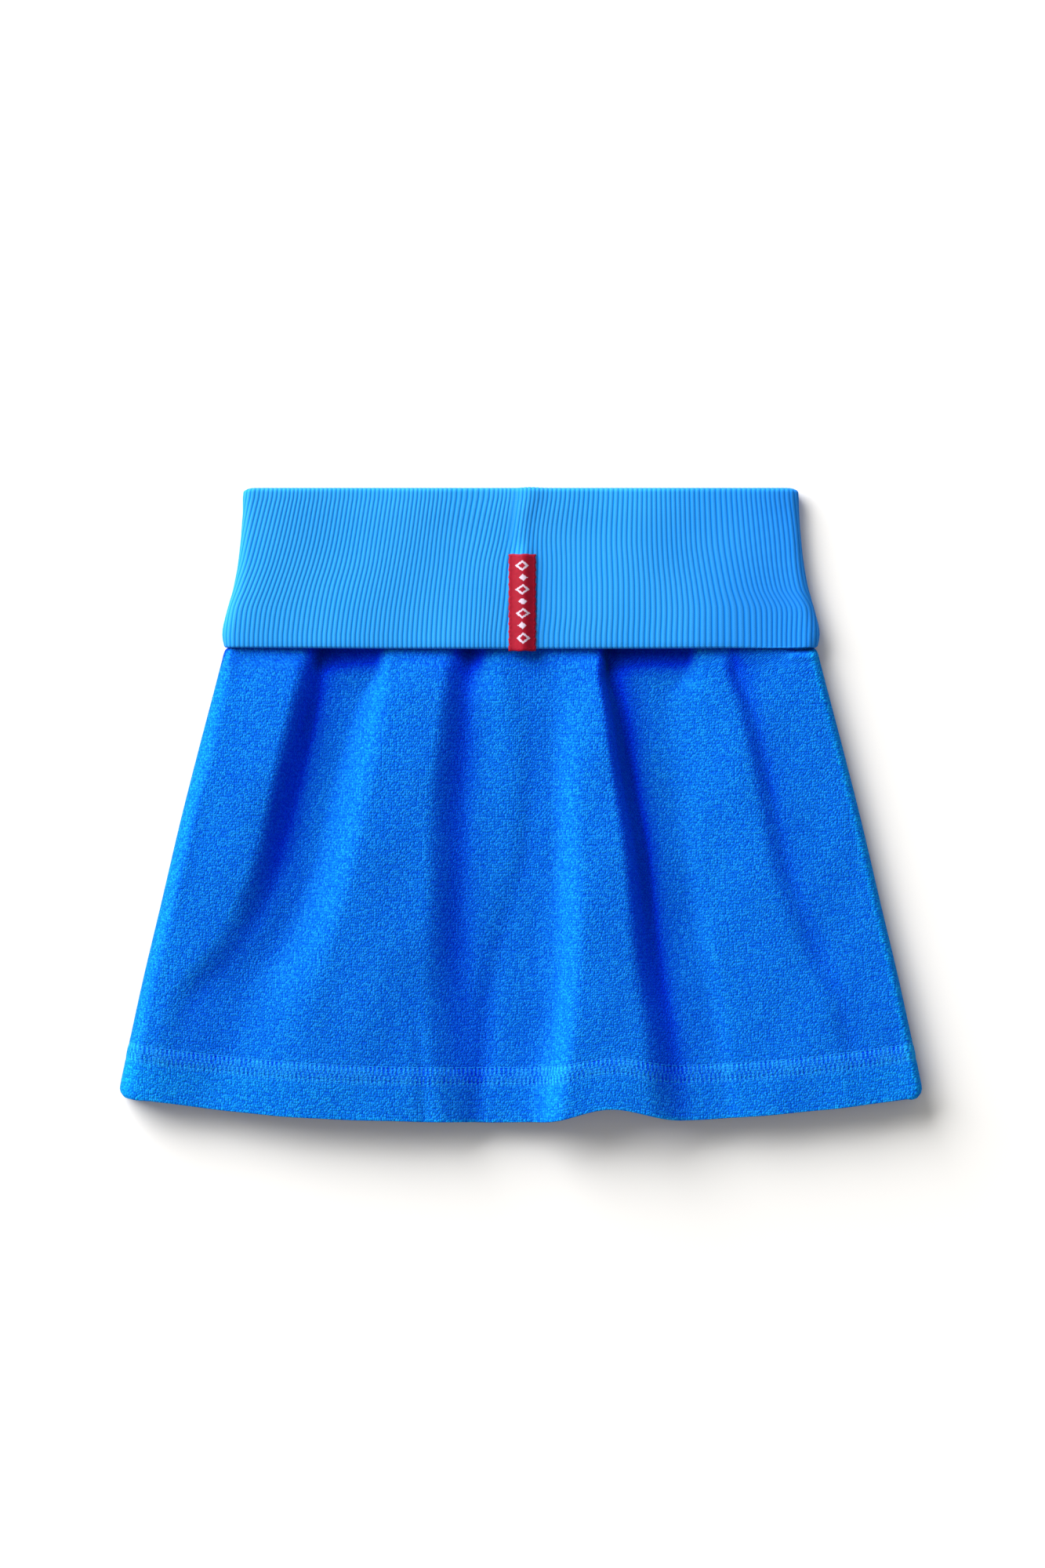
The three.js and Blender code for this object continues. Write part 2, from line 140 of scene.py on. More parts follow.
# Makes a piece from points in millimetres and quads, with values at each point and places on the cloth
def meshPiece(name, points, quads, material, attributes=None, cloth=None):
    mesh = bpy.data.meshes.new(name)
    quads = np.asarray(quads, np.int32)
    mesh.vertices.add(len(points))
    mesh.vertices.foreach_set("co", (np.asarray(points) * metre).astype(np.float32).ravel())
    mesh.loops.add(quads.size)
    mesh.loops.foreach_set("vertex_index", quads.ravel())
    mesh.polygons.add(len(quads))
    mesh.polygons.foreach_set("loop_start", np.arange(0, quads.size, 4, dtype=np.int32))
    mesh.polygons.foreach_set("use_smooth", np.ones(len(quads), bool))
    for key, values in (attributes or {}).items():
        layer = mesh.attributes.new(key, "FLOAT", "POINT")
        layer.data.foreach_set("value", np.asarray(values, np.float32).ravel())
    if cloth is not None:
        layer = mesh.uv_layers.new(name="cloth")
        layer.data.foreach_set("uv", (np.asarray(cloth)[quads.ravel()] * metre).astype(np.float32).ravel())
    mesh.update()
    mesh.validate()
    mesh.materials.append(material)
    piece = bpy.data.objects.new(name, mesh)
    scene.collection.objects.link(piece)
    return piece


# Closed wall between an outer sheet of points and an inner one with the same rows and columns
def wallQuads(rows, columns):
    number = np.arange(rows * columns).reshape(rows, columns)
    under = number + rows * columns
    outer = np.stack([number[:-1, :-1], number[1:, :-1], number[1:, 1:], number[:-1, 1:]], -1)
    inner = np.stack([under[:-1, :-1], under[:-1, 1:], under[1:, 1:], under[1:, :-1]], -1)
    left = np.stack([number[:-1, 0], under[:-1, 0], under[1:, 0], number[1:, 0]], -1)
    right = np.stack([number[:-1, -1], number[1:, -1], under[1:, -1], under[:-1, -1]], -1)
    top = np.stack([number[0, :-1], number[0, 1:], under[0, 1:], under[0, :-1]], -1)
    foot = np.stack([number[-1, :-1], under[-1, :-1], under[-1, 1:], number[-1, 1:]], -1)
    return np.concatenate([part.reshape(-1, 4) for part in (outer, inner, left, right, top, foot)])


# Outward direction at every point of a sheet whose rows run down the skirt
def sheetNormals(sheet):
    across = np.gradient(sheet, axis=1)
    across[:, 0] = [0, 0, 1]
    across[:, -1] = [0, 0, -1]
    along = -np.gradient(sheet, axis=0)
    normals = np.cross(across, along)
    return normals / np.linalg.norm(normals, axis=2, keepdims=True)


# Arc length along each row, counted from the centre front
def clothAcross(sheet, centreX):
    steps = np.linalg.norm(np.diff(sheet, axis=1), axis=2)
    run = np.concatenate([np.zeros((len(sheet), 1)), np.cumsum(steps, axis=1)], axis=1)
    centre = [np.interp(centreX, x, arc) for x, arc in zip(sheet[..., 0], run)]
    return run - np.array(centre)[:, None]


# Short forms for wiring a node tree
def wiring(tree):
    def put(socket, value):
        if isinstance(value, bpy.types.NodeSocket):
            tree.links.new(value, socket)
        else:
            socket.default_value = value

    def add(kind, inputs=None, **settings):
        node = tree.nodes.new(kind)
        for key, value in settings.items():
            setattr(node, key, value)
        for key, value in (inputs or {}).items():
            put(node.inputs[key], value)
        return node

    def calc(operation, *values):
        return add("ShaderNodeMath", dict(enumerate(values)), operation=operation).outputs[0]

    return add, calc


def newMaterial(name, shaderValues):
    material = bpy.data.materials.new(name)
    material.use_nodes = True
    add, calc = wiring(material.node_tree)
    shader = material.node_tree.nodes["Principled BSDF"]
    for key, value in shaderValues.items():
        shader.inputs[key].default_value = value
    return material, shader, add, calc


def scaled(add, vector, factors):
    return add("ShaderNodeVectorMath", {0: vector, 1: factors}, operation="MULTIPLY").outputs[0]


def mixColours(add, factor, first, second):
    node = add("ShaderNodeMix", {"Factor": factor}, data_type="RGBA")
    for number, colour in ((6, first), (7, second)):
        if isinstance(colour, bpy.types.NodeSocket):
            node.id_data.links.new(colour, node.inputs[number])
        else:
            node.inputs[number].default_value = (*colour, 1)
    return node.outputs[2]


# Places on the cloth in millimetres, wandering a little as a knit does
def wanderingPlace(add, wander, size):
    cloth = add("ShaderNodeUVMap", uv_map="cloth").outputs[0]
    place = scaled(add, cloth, (1 / metre, 1 / metre, 1))
    noise = add("ShaderNodeTexNoise", {"Vector": place, "Scale": 1 / size, "Detail": 2})
    centred = add("ShaderNodeVectorMath", {0: noise.outputs["Color"], 1: (0.5, 0.5, 0.5)},
                  operation="SUBTRACT")
    moved = scaled(add, centred.outputs[0], wander)
    return place, add("ShaderNodeVectorMath", {0: place, 1: moved}, operation="ADD").outputs[0]


# Blue terry: upright wales of small loops, pale where a loop stands up and deep blue between, the deep blue
# between the loops being painted shade
terry = {
    "wale": 0.8, "loop": 1.1, "scatter": 0.7, "wander": (0.5, 0.8, 0), "wanderSize": 4.3,
    "loopColour": (0.006, 0.25, 0.8), "baseColour": (0.0003, 0.056, 0.58), "pile": 0.0004,
    "fleckColour": (0.012, 0.265, 0.83), "sewnColour": (0.022, 0.34, 0.9),
    # Tints for painted shade, the deeper painted shade of pockets, and painted light
    "paintedShadeColour": (0.08, 0.27, 1.2), "pocketShade": (0.6, 0.33, 0.32),
    "litColour": (1, 1.8, 1.15), "litReach": 2.5, "patchSize": 8, "patchTone": 0.12, "loopTone": 0.2,
    "fuzzStretch": (1.25, 0.8, 1), "fuzzScale": 1.6, "fuzzHeight": 0.9, "fuzzTone": 0.4,
    "pucker": 1.9, "needleLine": 0.8, "pitDepth": 0.3,
    "shader": {"Roughness": 0.95, "Specular IOR Level": 0.03, "Sheen Weight": 0.3,
               "Sheen Roughness": 0.4, "Sheen Tint": (0, 0.5, 1, 1)},
}


def terryCloth():
    material, shader, add, calc = newMaterial("blueTerry", terry["shader"])
    place, wandering = wanderingPlace(add, terry["wander"], terry["wanderSize"])
    part = add("ShaderNodeSeparateXYZ", {0: place}).outputs
    cells = scaled(add, wandering, (1 / terry["wale"], 1 / terry["loop"], 1))
    loops = add("ShaderNodeTexVoronoi", {"Vector": cells, "Scale": 1, "Randomness": terry["scatter"]},
                voronoi_dimensions="2D", feature="F1").outputs
    own = add("ShaderNodeSeparateColor", {0: loops["Color"]}).outputs[0]
    dome = calc("SUBTRACT", 1, calc("MULTIPLY", loops["Distance"], 1.25))
    fuzzPlace = scaled(add, wandering, terry["fuzzStretch"])
    fuzz = add("ShaderNodeTexNoise", {"Vector": fuzzPlace, "Scale": terry["fuzzScale"], "Detail": 3,
                                      "Roughness": 0.7}).outputs[0]
    pile = calc("MULTIPLY", dome, calc("MULTIPLY_ADD", own, 0.4, 0.65))
    pile = calc("ADD", pile, calc("MULTIPLY", calc("SUBTRACT", fuzz, 0.5), terry["fuzzHeight"]))
    # The coverstitch: a row of small pits along each needle line and puffed bars between the two
    fromEdge = calc("SUBTRACT", part[1], garment["hemY"])
    patches = add("ShaderNodeTexNoise", {"Vector": place, "Scale": 1 / terry["patchSize"],
                                         "Detail": 2}).outputs[0]
    middle = (garment["hemDepth"] + garment["lowerStitch"]) / 2
    reach = (garment["hemDepth"] - garment["lowerStitch"]) / 2
    upper = calc("GREATER_THAN", fromEdge, middle)
    across = calc("ADD", calc("DIVIDE", part[0], terry["pucker"]), calc("MULTIPLY_ADD", upper, 0.5, fuzz))
    rung = calc("MULTIPLY_ADD", calc("COSINE", calc("MULTIPLY", across, 2 * math.pi)), 0.5, 0.5)
    pulled = add("ShaderNodeClamp", {"Value": calc("MULTIPLY_ADD", patches, 3, -1.1)}).outputs[0]
    rung = calc("MULTIPLY", rung, calc("MULTIPLY_ADD", pulled, 0.6, 0.4))
    pits = 0
    for row in (garment["hemDepth"], garment["lowerStitch"]):
        away = calc("DIVIDE", calc("SUBTRACT", fromEdge, row), terry["needleLine"])
        line = calc("EXPONENT", calc("MULTIPLY", calc("MULTIPLY", away, away), -1))
        pits = calc("ADD", line, pits)
    between = calc("LESS_THAN", calc("ABSOLUTE", calc("SUBTRACT", fromEdge, middle)), reach)
    sewn = calc("MULTIPLY", pits, calc("MULTIPLY", rung, terry["pitDepth"]))
    ladder = calc("MULTIPLY", between, calc("MULTIPLY_ADD", rung, -0.35, 0.15))
    relief = calc("ADD", calc("SUBTRACT", pile, sewn), ladder)
    # The tone is painted shade between the loops, from the pile height, with random tone per loop, fuzz and
    # patches
    tone = calc("MULTIPLY_ADD", pile, 0.8, 0.05)
    tone = calc("MULTIPLY_ADD", calc("SUBTRACT", own, 0.5), terry["loopTone"], tone)
    tone = calc("MULTIPLY_ADD", calc("SUBTRACT", fuzz, 0.5), terry["fuzzTone"], tone)
    tone = calc("ADD", tone, calc("MULTIPLY", calc("SUBTRACT", patches, 0.5), terry["patchTone"]))
    tone = add("ShaderNodeClamp", {"Value": tone}).outputs[0]
    colour = mixColours(add, tone, terry["baseColour"], terry["loopColour"])
    paler = add("ShaderNodeClamp", {"Value": calc("MULTIPLY", calc("SUBTRACT", own, 0.58), 2)}).outputs[0]
    fleck = add("ShaderNodeClamp", {"Value": calc("MULTIPLY", paler, dome)}).outputs[0]
    colour = mixColours(add, fleck, colour, terry["fleckColour"])
    # The sewing is paler between the needle lines, with deeper rungs across it
    paleness = calc("MULTIPLY", between, calc("MULTIPLY_ADD", rung, -1.1, 0.52))
    paleness = calc("MULTIPLY_ADD", pits, calc("MULTIPLY_ADD", rung, -0.9, 0.4), paleness)
    paleness = add("ShaderNodeClamp", {"Value": paleness}).outputs[0]
    colour = mixColours(add, paleness, colour, terry["sewnColour"])
    # The painted light and shade attribute: over 0 painted light and paler, under 0 painted shade and deeper,
    # under -1 the deeper painted shade of a pocket
    paintedLightShade = add("ShaderNodeAttribute", attribute_name="paintedLightShade").outputs["Fac"]
    # The sewing adds painted light on the bars between the needle lines and painted shade in the rungs and
    # needle pits
    paintedLightShade = calc("MULTIPLY_ADD", between, calc("MULTIPLY_ADD", rung, -0.9, 0.2), paintedLightShade)
    paintedLightShade = calc("MULTIPLY_ADD", pits, calc("MULTIPLY_ADD", rung, -0.9, 0.15), paintedLightShade)
    paintedShade = calc("MULTIPLY", paintedLightShade, -1)
    shade = mixColours(add, calc("MAXIMUM", paintedShade, 0), (1, 1, 1), terry["paintedShadeColour"])
    pocket = scaled(add, shade, terry["pocketShade"])
    shade = mixColours(add, calc("MAXIMUM", calc("SUBTRACT", paintedShade, 1), 0), shade, pocket)
    lit = calc("MAXIMUM", calc("DIVIDE", paintedLightShade, terry["litReach"]), 0)
    shade = mixColours(add, lit, shade, terry["litColour"])
    colour = scaled(add, colour, shade)
    material.node_tree.links.new(colour, shader.inputs["Base Color"])
    bump = add("ShaderNodeBump", {"Strength": 1.0, "Distance": terry["pile"], "Height": relief})
    material.node_tree.links.new(bump.outputs[0], shader.inputs["Normal"])
    return material


# Azure rib knit: the ribs are in the mesh, and the finish paints shade into their grooves and adds the knit
# stitches
ribKnit = {
    "crestColour": (0.034, 0.318, 0.8), "grooveShadeColour": (0.002, 0.218, 0.745), "grooveWidth": 0.26,
    "turnedShade": (0.6, 0.8, 0.98), "stitch": 0.85, "knitDepth": 0.00012,
    "shader": {"Roughness": 0.9, "Specular IOR Level": 0.1, "Sheen Weight": 0.1,
               "Sheen Roughness": 0.5, "Sheen Tint": (0.2, 0.6, 1, 1)},
}


def ribCloth():
    material, shader, add, calc = newMaterial("azureRib", ribKnit["shader"])
    place, wandering = wanderingPlace(add, (0.3, 0.3, 0), 2)
    part = add("ShaderNodeSeparateXYZ", {0: wandering}).outputs
    rib = add("ShaderNodeAttribute", attribute_name="rib").outputs["Fac"]
    fromGroove = calc("ABSOLUTE", calc("SUBTRACT", rib, calc("ROUND", rib)))
    groove = calc("DIVIDE", fromGroove, ribKnit["grooveWidth"])
    crest = calc("MINIMUM", calc("POWER", groove, 1.5), 1)
    halfRib = calc("FRACT", calc("MULTIPLY", rib, 2))
    slant = calc("MULTIPLY", calc("ABSOLUTE", calc("SUBTRACT", halfRib, 0.5)), 1.2)
    stitches = calc("ADD", calc("DIVIDE", part[1], ribKnit["stitch"]), slant)
    knit = calc("MULTIPLY_ADD", calc("COSINE", calc("MULTIPLY", stitches, 2 * math.pi)), 0.5, 0.5)
    fuzz = add("ShaderNodeTexNoise", {"Vector": place, "Scale": 1.3, "Detail": 3}).outputs[0]
    cloud = add("ShaderNodeTexNoise", {"Vector": place, "Scale": 0.05, "Detail": 2}).outputs[0]
    # The tone is painted shade in the grooves, with random fuzz and cloud
    tone = calc("MULTIPLY", crest, calc("MULTIPLY_ADD", fuzz, 0.35, 0.72))
    tone = calc("ADD", tone, calc("MULTIPLY", calc("SUBTRACT", cloud, 0.5), 0.3))
    tone = add("ShaderNodeClamp", {"Value": tone}).outputs[0]
    colour = mixColours(add, tone, ribKnit["grooveShadeColour"], ribKnit["crestColour"])
    # Painted shade: the right side is darker, as if it turned down from the light
    rightShade = add("ShaderNodeClamp", {"Value": calc("MULTIPLY_ADD", part[0], 1 / 65, -0.75)}).outputs[0]
    colour = mixColours(add, rightShade, colour, scaled(add, colour, ribKnit["turnedShade"]))
    material.node_tree.links.new(colour, shader.inputs["Base Color"])
    height = calc("ADD", calc("MULTIPLY", knit, 0.6), calc("MULTIPLY", fuzz, 0.5))
    bump = add("ShaderNodeBump", {"Strength": 0.8, "Distance": ribKnit["knitDepth"], "Height": height})
    material.node_tree.links.new(bump.outputs[0], shader.inputs["Normal"])
    return material


# Folds of the front panel, left to right: where each lies across the skirt and how high the middle of the
# cloth stands there, at the heights in foldRows
foldRows = [78.5, 64.5, 57, 42, 8, -25, -58, -92, -134]
folds = {
    "roll": ([-94, -94.5, -96, -99.5, -107, -115, -129, -151, -158],
             [5.9, 8, 11, 13.4, 15.4, 15, 13.6, 12.8, 13.4]),
    "dip": ([-84.5, -84.5, -84.5, -86.5, -94.5, -102.5, -113, -138, -146],
            [5.9, 4.9, 3.4, 3.4, 5, 7.4, 9.2, 11, 12.8]),
    "left rise": ([-67, -62.5, -63, -71, -82, -90, -102, -122, -132],
                  [5.9, 5.4, 4.4, 3.8, 4.4, 5.6, 7.6, 10.2, 12]),
    "flat": ([-56, -54.5, -55.5, -56, -62, -69, -78, -87, -95],
             [5.9, 8, 9.7, 12.2, 14, 14.8, 14.8, 14.8, 14.8]),
    "edge": ([-33, -33, -34, -35.5, -39.5, -41, -41, -42, -36],
             [5.9, 8, 11.2, 13.4, 14.4, 15, 14.8, 14.4, 14.4]),
    "valley": ([-20.5, -21.5, -21.5, -22.5, -23, -23.5, -23, -21, -16],
               [5.9, 4.9, 4.6, 6.8, 7.6, 7.6, 7.6, 8.7, 9.6]),
    "middle swell": ([-6, -8, -7, -5, -3, -4, -2, 2, 1],
                     [5.9, 7.8, 9, 9.7, 9.4, 8.8, 7.3, 6.5, 10.1]),
    "middle fall": ([3, 3, 3, 4.5, 6, 4, 5, 8, 5],
                    [5.9, 7.7, 8.8, 9.2, 8.7, 8.3, 7.3, 6.9, 10.5]),
    "pleat foot": ([9, 9, 9, 11, 13, 13, 14, 13.5, 8.5],
                   [5.9, 7.6, 8.9, 9.3, 9, 8.6, 8.5, 8.8, 12]),
    "pleat rise": ([23, 23, 24, 26, 26.5, 27, 27, 24.5, 19],
                   [5.9, 8, 11, 13.6, 16.2, 17.8, 18.4, 18.8, 19.2]),
    "pleat crest": ([33, 32, 32, 34.2, 38.6, 43.3, 45.6, 50, 54],
                    [5.9, 8, 12, 15, 17.4, 18.6, 19, 19.2, 19.4]),
    "pleat drop": ([38, 37.5, 37.5, 41, 48, 54.5, 58.5, 64.5, 72],
                   [5.9, 4.8, 3.6, 3.8, 4.4, 5.9, 8.2, 10.4, 13]),
    "pleat floor": ([70, 70.5, 69, 60, 62, 68, 73, 80, 87],
                    [5.9, 4.9, 3.8, 4.2, 4.7, 5.6, 7, 9.4, 12.4]),
    "right swell": ([77, 78, 79, 79, 79, 79, 84, 89, 95],
                    [5.9, 7.8, 8.7, 8.8, 8.7, 8.8, 9.8, 11.4, 13.6]),
    "crest": ([86, 86, 86.5, 91.5, 99, 105, 114.5, 129, 138],
              [5.9, 7.8, 9.7, 10.9, 11.6, 11.9, 12.1, 12.8, 14]),
    "right fall": ([92, 91, 92, 98, 106.5, 114, 125, 138, 147],
                   [5.9, 7, 7.2, 8, 8.7, 9, 9.8, 11.4, 13.2]),
}
leftShoulderZ = [5.9, 7.9, 9.4, 11.4, 13.2, 13.3, 12.5, 12.3, 13.2]
rightShoulderZ = [5.9, 8, 9.4, 9.6, 9.6, 9.8, 10.2, 11.4, 12.8]

frontPanel = {
    "columns": 264, "sideColumns": 12,
    "rowRuns": [(78.5, 2.2), (69, 0.6), (62, 1.1), (52, 1.75), (-109, 0.55), (-122, 1.25), (-135.5, 0.125)],
    "stitchDepth": 0.06, "stitchWidth": 0.8, "puff": 0.16, "centreX": 1.2, "rimRadius": 0.4,
    "leftTurn": 4, "rightTurn": 0, "shoulderX": 162, "cornerX": 112, "cornerPuff": 0.9, "cornerNip": 2.4,
    # Sizes of the painted light and shade on the front panel
    "shadeReach": 9, "shadeHeight": 3.6, "shadeSlope": 1.1, "shadeRest": 0.12,
    "bandShade": 1.4, "upperShade": 0.2, "edgeLight": 1.5, "hemLight": 1.6,
    "waves": [(0.16, 7.1, 19, 0.4), (0.14, -11.3, 13, 2.1), (0.12, 5.2, -9.4, 4.4), (0.1, 17, 6.3, 1.3)],
    "hemWaves": [(0.12, 14, 90, 0.7), (0.07, 4.7, 70, 2.9)],
}
# Soft creases between the main folds: middle line, depth (down is minus) and half width at each height
frontCreases = [
    {"y": [10, -18, -42, -65, -85, -105, -134], "x": [4, 3, -4, -10, -14, -15, -19],
     "z": [0, -0.5, -0.7, -0.8, -1.3, -1.3, -0.9], "width": 5},
    {"y": [62, 50, 36, 22], "x": [49, 51, 54, 57], "z": [0, -0.5, -0.3, 0], "width": 3},
    {"y": [66, 50, 30, 10, -12], "x": [-56, -58.5, -62, -67, -72],
     "z": [0.1, 0.35, 0.35, 0.3, 0], "width": 1.7},
    {"y": [44, 0, -60, -100, -134], "x": [21.5, 21.5, 21, 18.5, 13],
     "z": [0, 0.4, 0.6, 0.7, 0.6], "width": 2.2},
    {"y": [10, -20, -45, -70], "x": [-88, -97, -110, -124], "z": [0, -0.4, -0.5, 0], "width": 5},
    {"y": [-30, -70, -110, -134], "x": [-60, -66, -64, -62], "z": [0, 0.5, 0.6, 0.4], "width": 12},
    {"y": [-84, -104, -134], "x": [-46, -43, -41], "z": [0, -0.5, -0.7], "width": 2.6},
]


def foldAt(values, level):
    return float(curve(foldRows[::-1], values[::-1], level))


# Middle of the front panel's cloth along one row, from its left edge to its right one
def frontRow(level, steps):
    half = rowHalf(level)
    fuller = smooth((64 - level) / 20)
    turns = (3 + frontPanel["leftTurn"] * fuller, 2.6 + frontPanel["rightTurn"] * fuller)
    footZ = max(backTopZ(level), backTopZ(level - 2.5)) + 0.35 + 0.15 * smooth((level - 61.5) / 4.7)
    leftX, rightX = (half - garment["terryWall"] / 2 - turn for turn in turns)
    leftZ = foldAt(leftShoulderZ, level)
    rightZ = foldAt(rightShoulderZ, level)
    knotX = [-leftX, *(foldAt(x, level) for x, z in folds.values()), rightX]
    knotZ = [leftZ, *(foldAt(z, level) for x, z in folds.values()), rightZ]
    angle = np.linspace(1, 0, frontPanel["sideColumns"], endpoint=False) * math.pi / 2
    runs = [np.linspace(a, b, n, endpoint=False) for a, b, n in zip(knotX, knotX[1:], steps)]
    middleX = np.append(np.concatenate(runs), rightX)
    middleZ = curve(knotX, knotZ, middleX)
    for crease in frontCreases:
        order = np.argsort(crease["y"])
        centre = curve(np.array(crease["y"])[order], np.array(crease["x"])[order], level)
        depth = curve(np.array(crease["y"])[order], np.array(crease["z"])[order], level)
        middleZ = middleZ + depth * bell(middleX - centre, crease["width"])
    leftSide = -leftX - turns[0] * np.sin(angle)
    rightSide = rightX + turns[1] * np.sin(angle)
    x = np.concatenate([leftSide, middleX, rightSide[::-1]])
    leftDrop = footZ + (leftZ - footZ) * np.cos(angle)
    rightDrop = footZ + (rightZ - footZ) * np.cos(angle)
    z = np.concatenate([leftDrop, middleZ, rightDrop[::-1]])
    inside = smooth((half - 3 - np.abs(x)) / 8) * smooth((66 - level) / 8)
    z = z + inside * unevenness(x, level, frontPanel["waves"])
    atCorner = smooth((x - frontPanel["cornerX"]) / 6)  # a puff and a nip where the band lets go of the panel
    z = z + atCorner * frontPanel["cornerPuff"] * bell(level - 62.3, 1.4)
    z = z - atCorner * frontPanel["cornerNip"] * bell(level - 65.4, 1.2)
    edge = smooth((garment["hemY"] + 14 - level) / 14) * unevenness(x, level, frontPanel["hemWaves"])
    return np.stack([x, level + hemLift(x, level) + edge, z], axis=1)


# Painted light and shade on the front panel: lighter on slopes that climb to the right, near the hem and at
# the side and hem edges; painted shade on slopes that fall away, deeper in the pleat and the upper part, and
# under the band's edge
def paintedLightShadeOf(sheet, levels):
    x = sheet[..., 0]
    z = sheet[..., 2]
    away = (x[:, :, None] - x[:, None, :]) / frontPanel["shadeReach"]
    near = np.exp(-(away**2)) * (away >= 0)
    before = (near * z[:, None, :]).sum(2) / near.sum(2)
    shading = (z - before) / frontPanel["shadeHeight"]
    across = np.gradient(x, axis=1)
    slope = np.gradient(z, axis=1) / np.maximum(across, 0.3)
    steepest = np.clip(frontPanel["shadeSlope"] * slope, -1, 1) + frontPanel["shadeRest"]
    shading = np.minimum(shading, steepest + 3 * (across < 0.5))
    shadeUnderBand = smooth((levels - 53)[:, None] / 12) * np.clip((8.8 - z) / 3, 0, 1) * smooth((97 - x) / 6)
    half = np.array([rowHalf(level) for level in levels])[:, None]
    edge = smooth((x - half + 5.4) / 2)
    hemEdge = smooth((garment["hemY"] + 1.6 - levels)[:, None] / 1.4)
    inPleat = smooth((x - 34) / 6) * smooth((72 - x) / 8)
    shading = np.clip(shading, -1 - 0.4 * np.maximum(smooth((levels - 15)[:, None] / 30), inPleat), 1)
    shading = shading - frontPanel["bandShade"] * shadeUnderBand
    shading = shading - frontPanel["upperShade"] * smooth((levels - 48)[:, None] / 14)
    nearHem = smooth((garment["hemY"] + 20 - levels)[:, None] / 8)
    shading = shading + nearHem * (0.25 + 0.4 * smooth((-30 - x) / 70) + 0.5 * smooth((np.abs(x) - 125) / 30))
    shading = shading + (frontPanel["edgeLight"] - shading) * edge
    return np.maximum(shading, frontPanel["hemLight"] * hemEdge + shading * (1 - hemEdge))


def frontCloth(material):
    levels = levelsThrough(frontPanel["rowRuns"], garment["hemY"])
    shoulder = [frontPanel["shoulderX"]] * len(foldRows)
    lines = [[-x for x in shoulder], *(x for x, z in folds.values()), shoulder]
    widest = [max(abs(b - a) for a, b in zip(first, second)) for first, second in zip(lines, lines[1:])]
    steps = [max(3, round(frontPanel["columns"] * w / sum(widest))) for w in widest]
    sheet = np.array([frontRow(level, steps) for level in levels])
    normals = sheetNormals(sheet)
    level = np.array(levels)[:, None, None]
    upperRow = garment["hemY"] + garment["hemDepth"]
    lowerRow = garment["hemY"] + garment["lowerStitch"]
    wall = garment["terryWall"]
    thickness = wall + garment["hemFill"] * hemShare(level)
    middle = wall / 2 - thickness / 2
    fromEdge = np.clip((level - garment["hemY"]) / frontPanel["rimRadius"], 0, 1)
    rim = 0.55 + 0.45 * np.sqrt(1 - (1 - fromEdge) ** 2)
    grooves = sum(bell(level - row, frontPanel["stitchWidth"]) for row in (upperRow, lowerRow))
    puff = smooth((level - lowerRow) / 2.5) * smooth((upperRow - level) / 2.5)
    outwards = middle + thickness / 2 * rim - frontPanel["stitchDepth"] * grooves + frontPanel["puff"] * puff
    inwards = middle - thickness / 2 * rim
    outer = sheet + normals * outwards
    inner = sheet + normals * inwards
    rows, columns = sheet.shape[:2]
    across = clothAcross(sheet, frontPanel["centreX"])
    cloth = np.stack([across, np.broadcast_to(level[..., 0], across.shape)], -1).reshape(-1, 2)
    points = np.concatenate([outer.reshape(-1, 3), inner.reshape(-1, 3)])
    # Painted light and shade, kept as a point attribute
    paintedLightShade = paintedLightShadeOf(outer, np.array(levels))
    piece = meshPiece("frontCloth", points, wallQuads(rows, columns), material,
                      {"paintedLightShade": np.tile(paintedLightShade.ravel(), 2)}, np.tile(cloth, (2, 1)))
    rowNear = [int(np.argmin(np.abs(np.array(levels) - row))) for row in (upperRow, lowerRow)]
    return piece, [outer[r] for r in rowNear]


# Back panel: flat on the floor, its hem a little above the front's, with shallow hollows underneath
backPanel = {
    "columns": 150, "rimWidth": 0.8, "rimShare": 0.4,
    "rowRuns": [(78.5, 2.2), (67.5, 1.0), (60, 2.4), (-108, 0.8), (-122, 1.6), (-134.4, 0.4)],
    "stitchDepth": 0.5, "stitchWidth": 0.9,
}
backCreases = [
    {"y": [-95, -50, 0, 40, 58], "x": [-112, -95, -78, -66, -60], "z": [0, 0.8, 0.9, 0.6, 0], "width": 7},
    {"y": [-80, -40, 5, 50], "x": [-38, -34, -26, -22], "z": [0, 0.5, 0.6, 0], "width": 10},
    {"y": [-100, -55, -5, 45], "x": [24, 22, 18, 12], "z": [0, 0.7, 0.5, 0], "width": 8},
    {"y": [-98, -45, 10, 56], "x": [92, 78, 60, 52], "z": [0, 0.8, 0.9, 0], "width": 8},
    {"y": [-60, -20, 30], "x": [128, 116, 100], "z": [0, 0.4, 0], "width": 6},
]


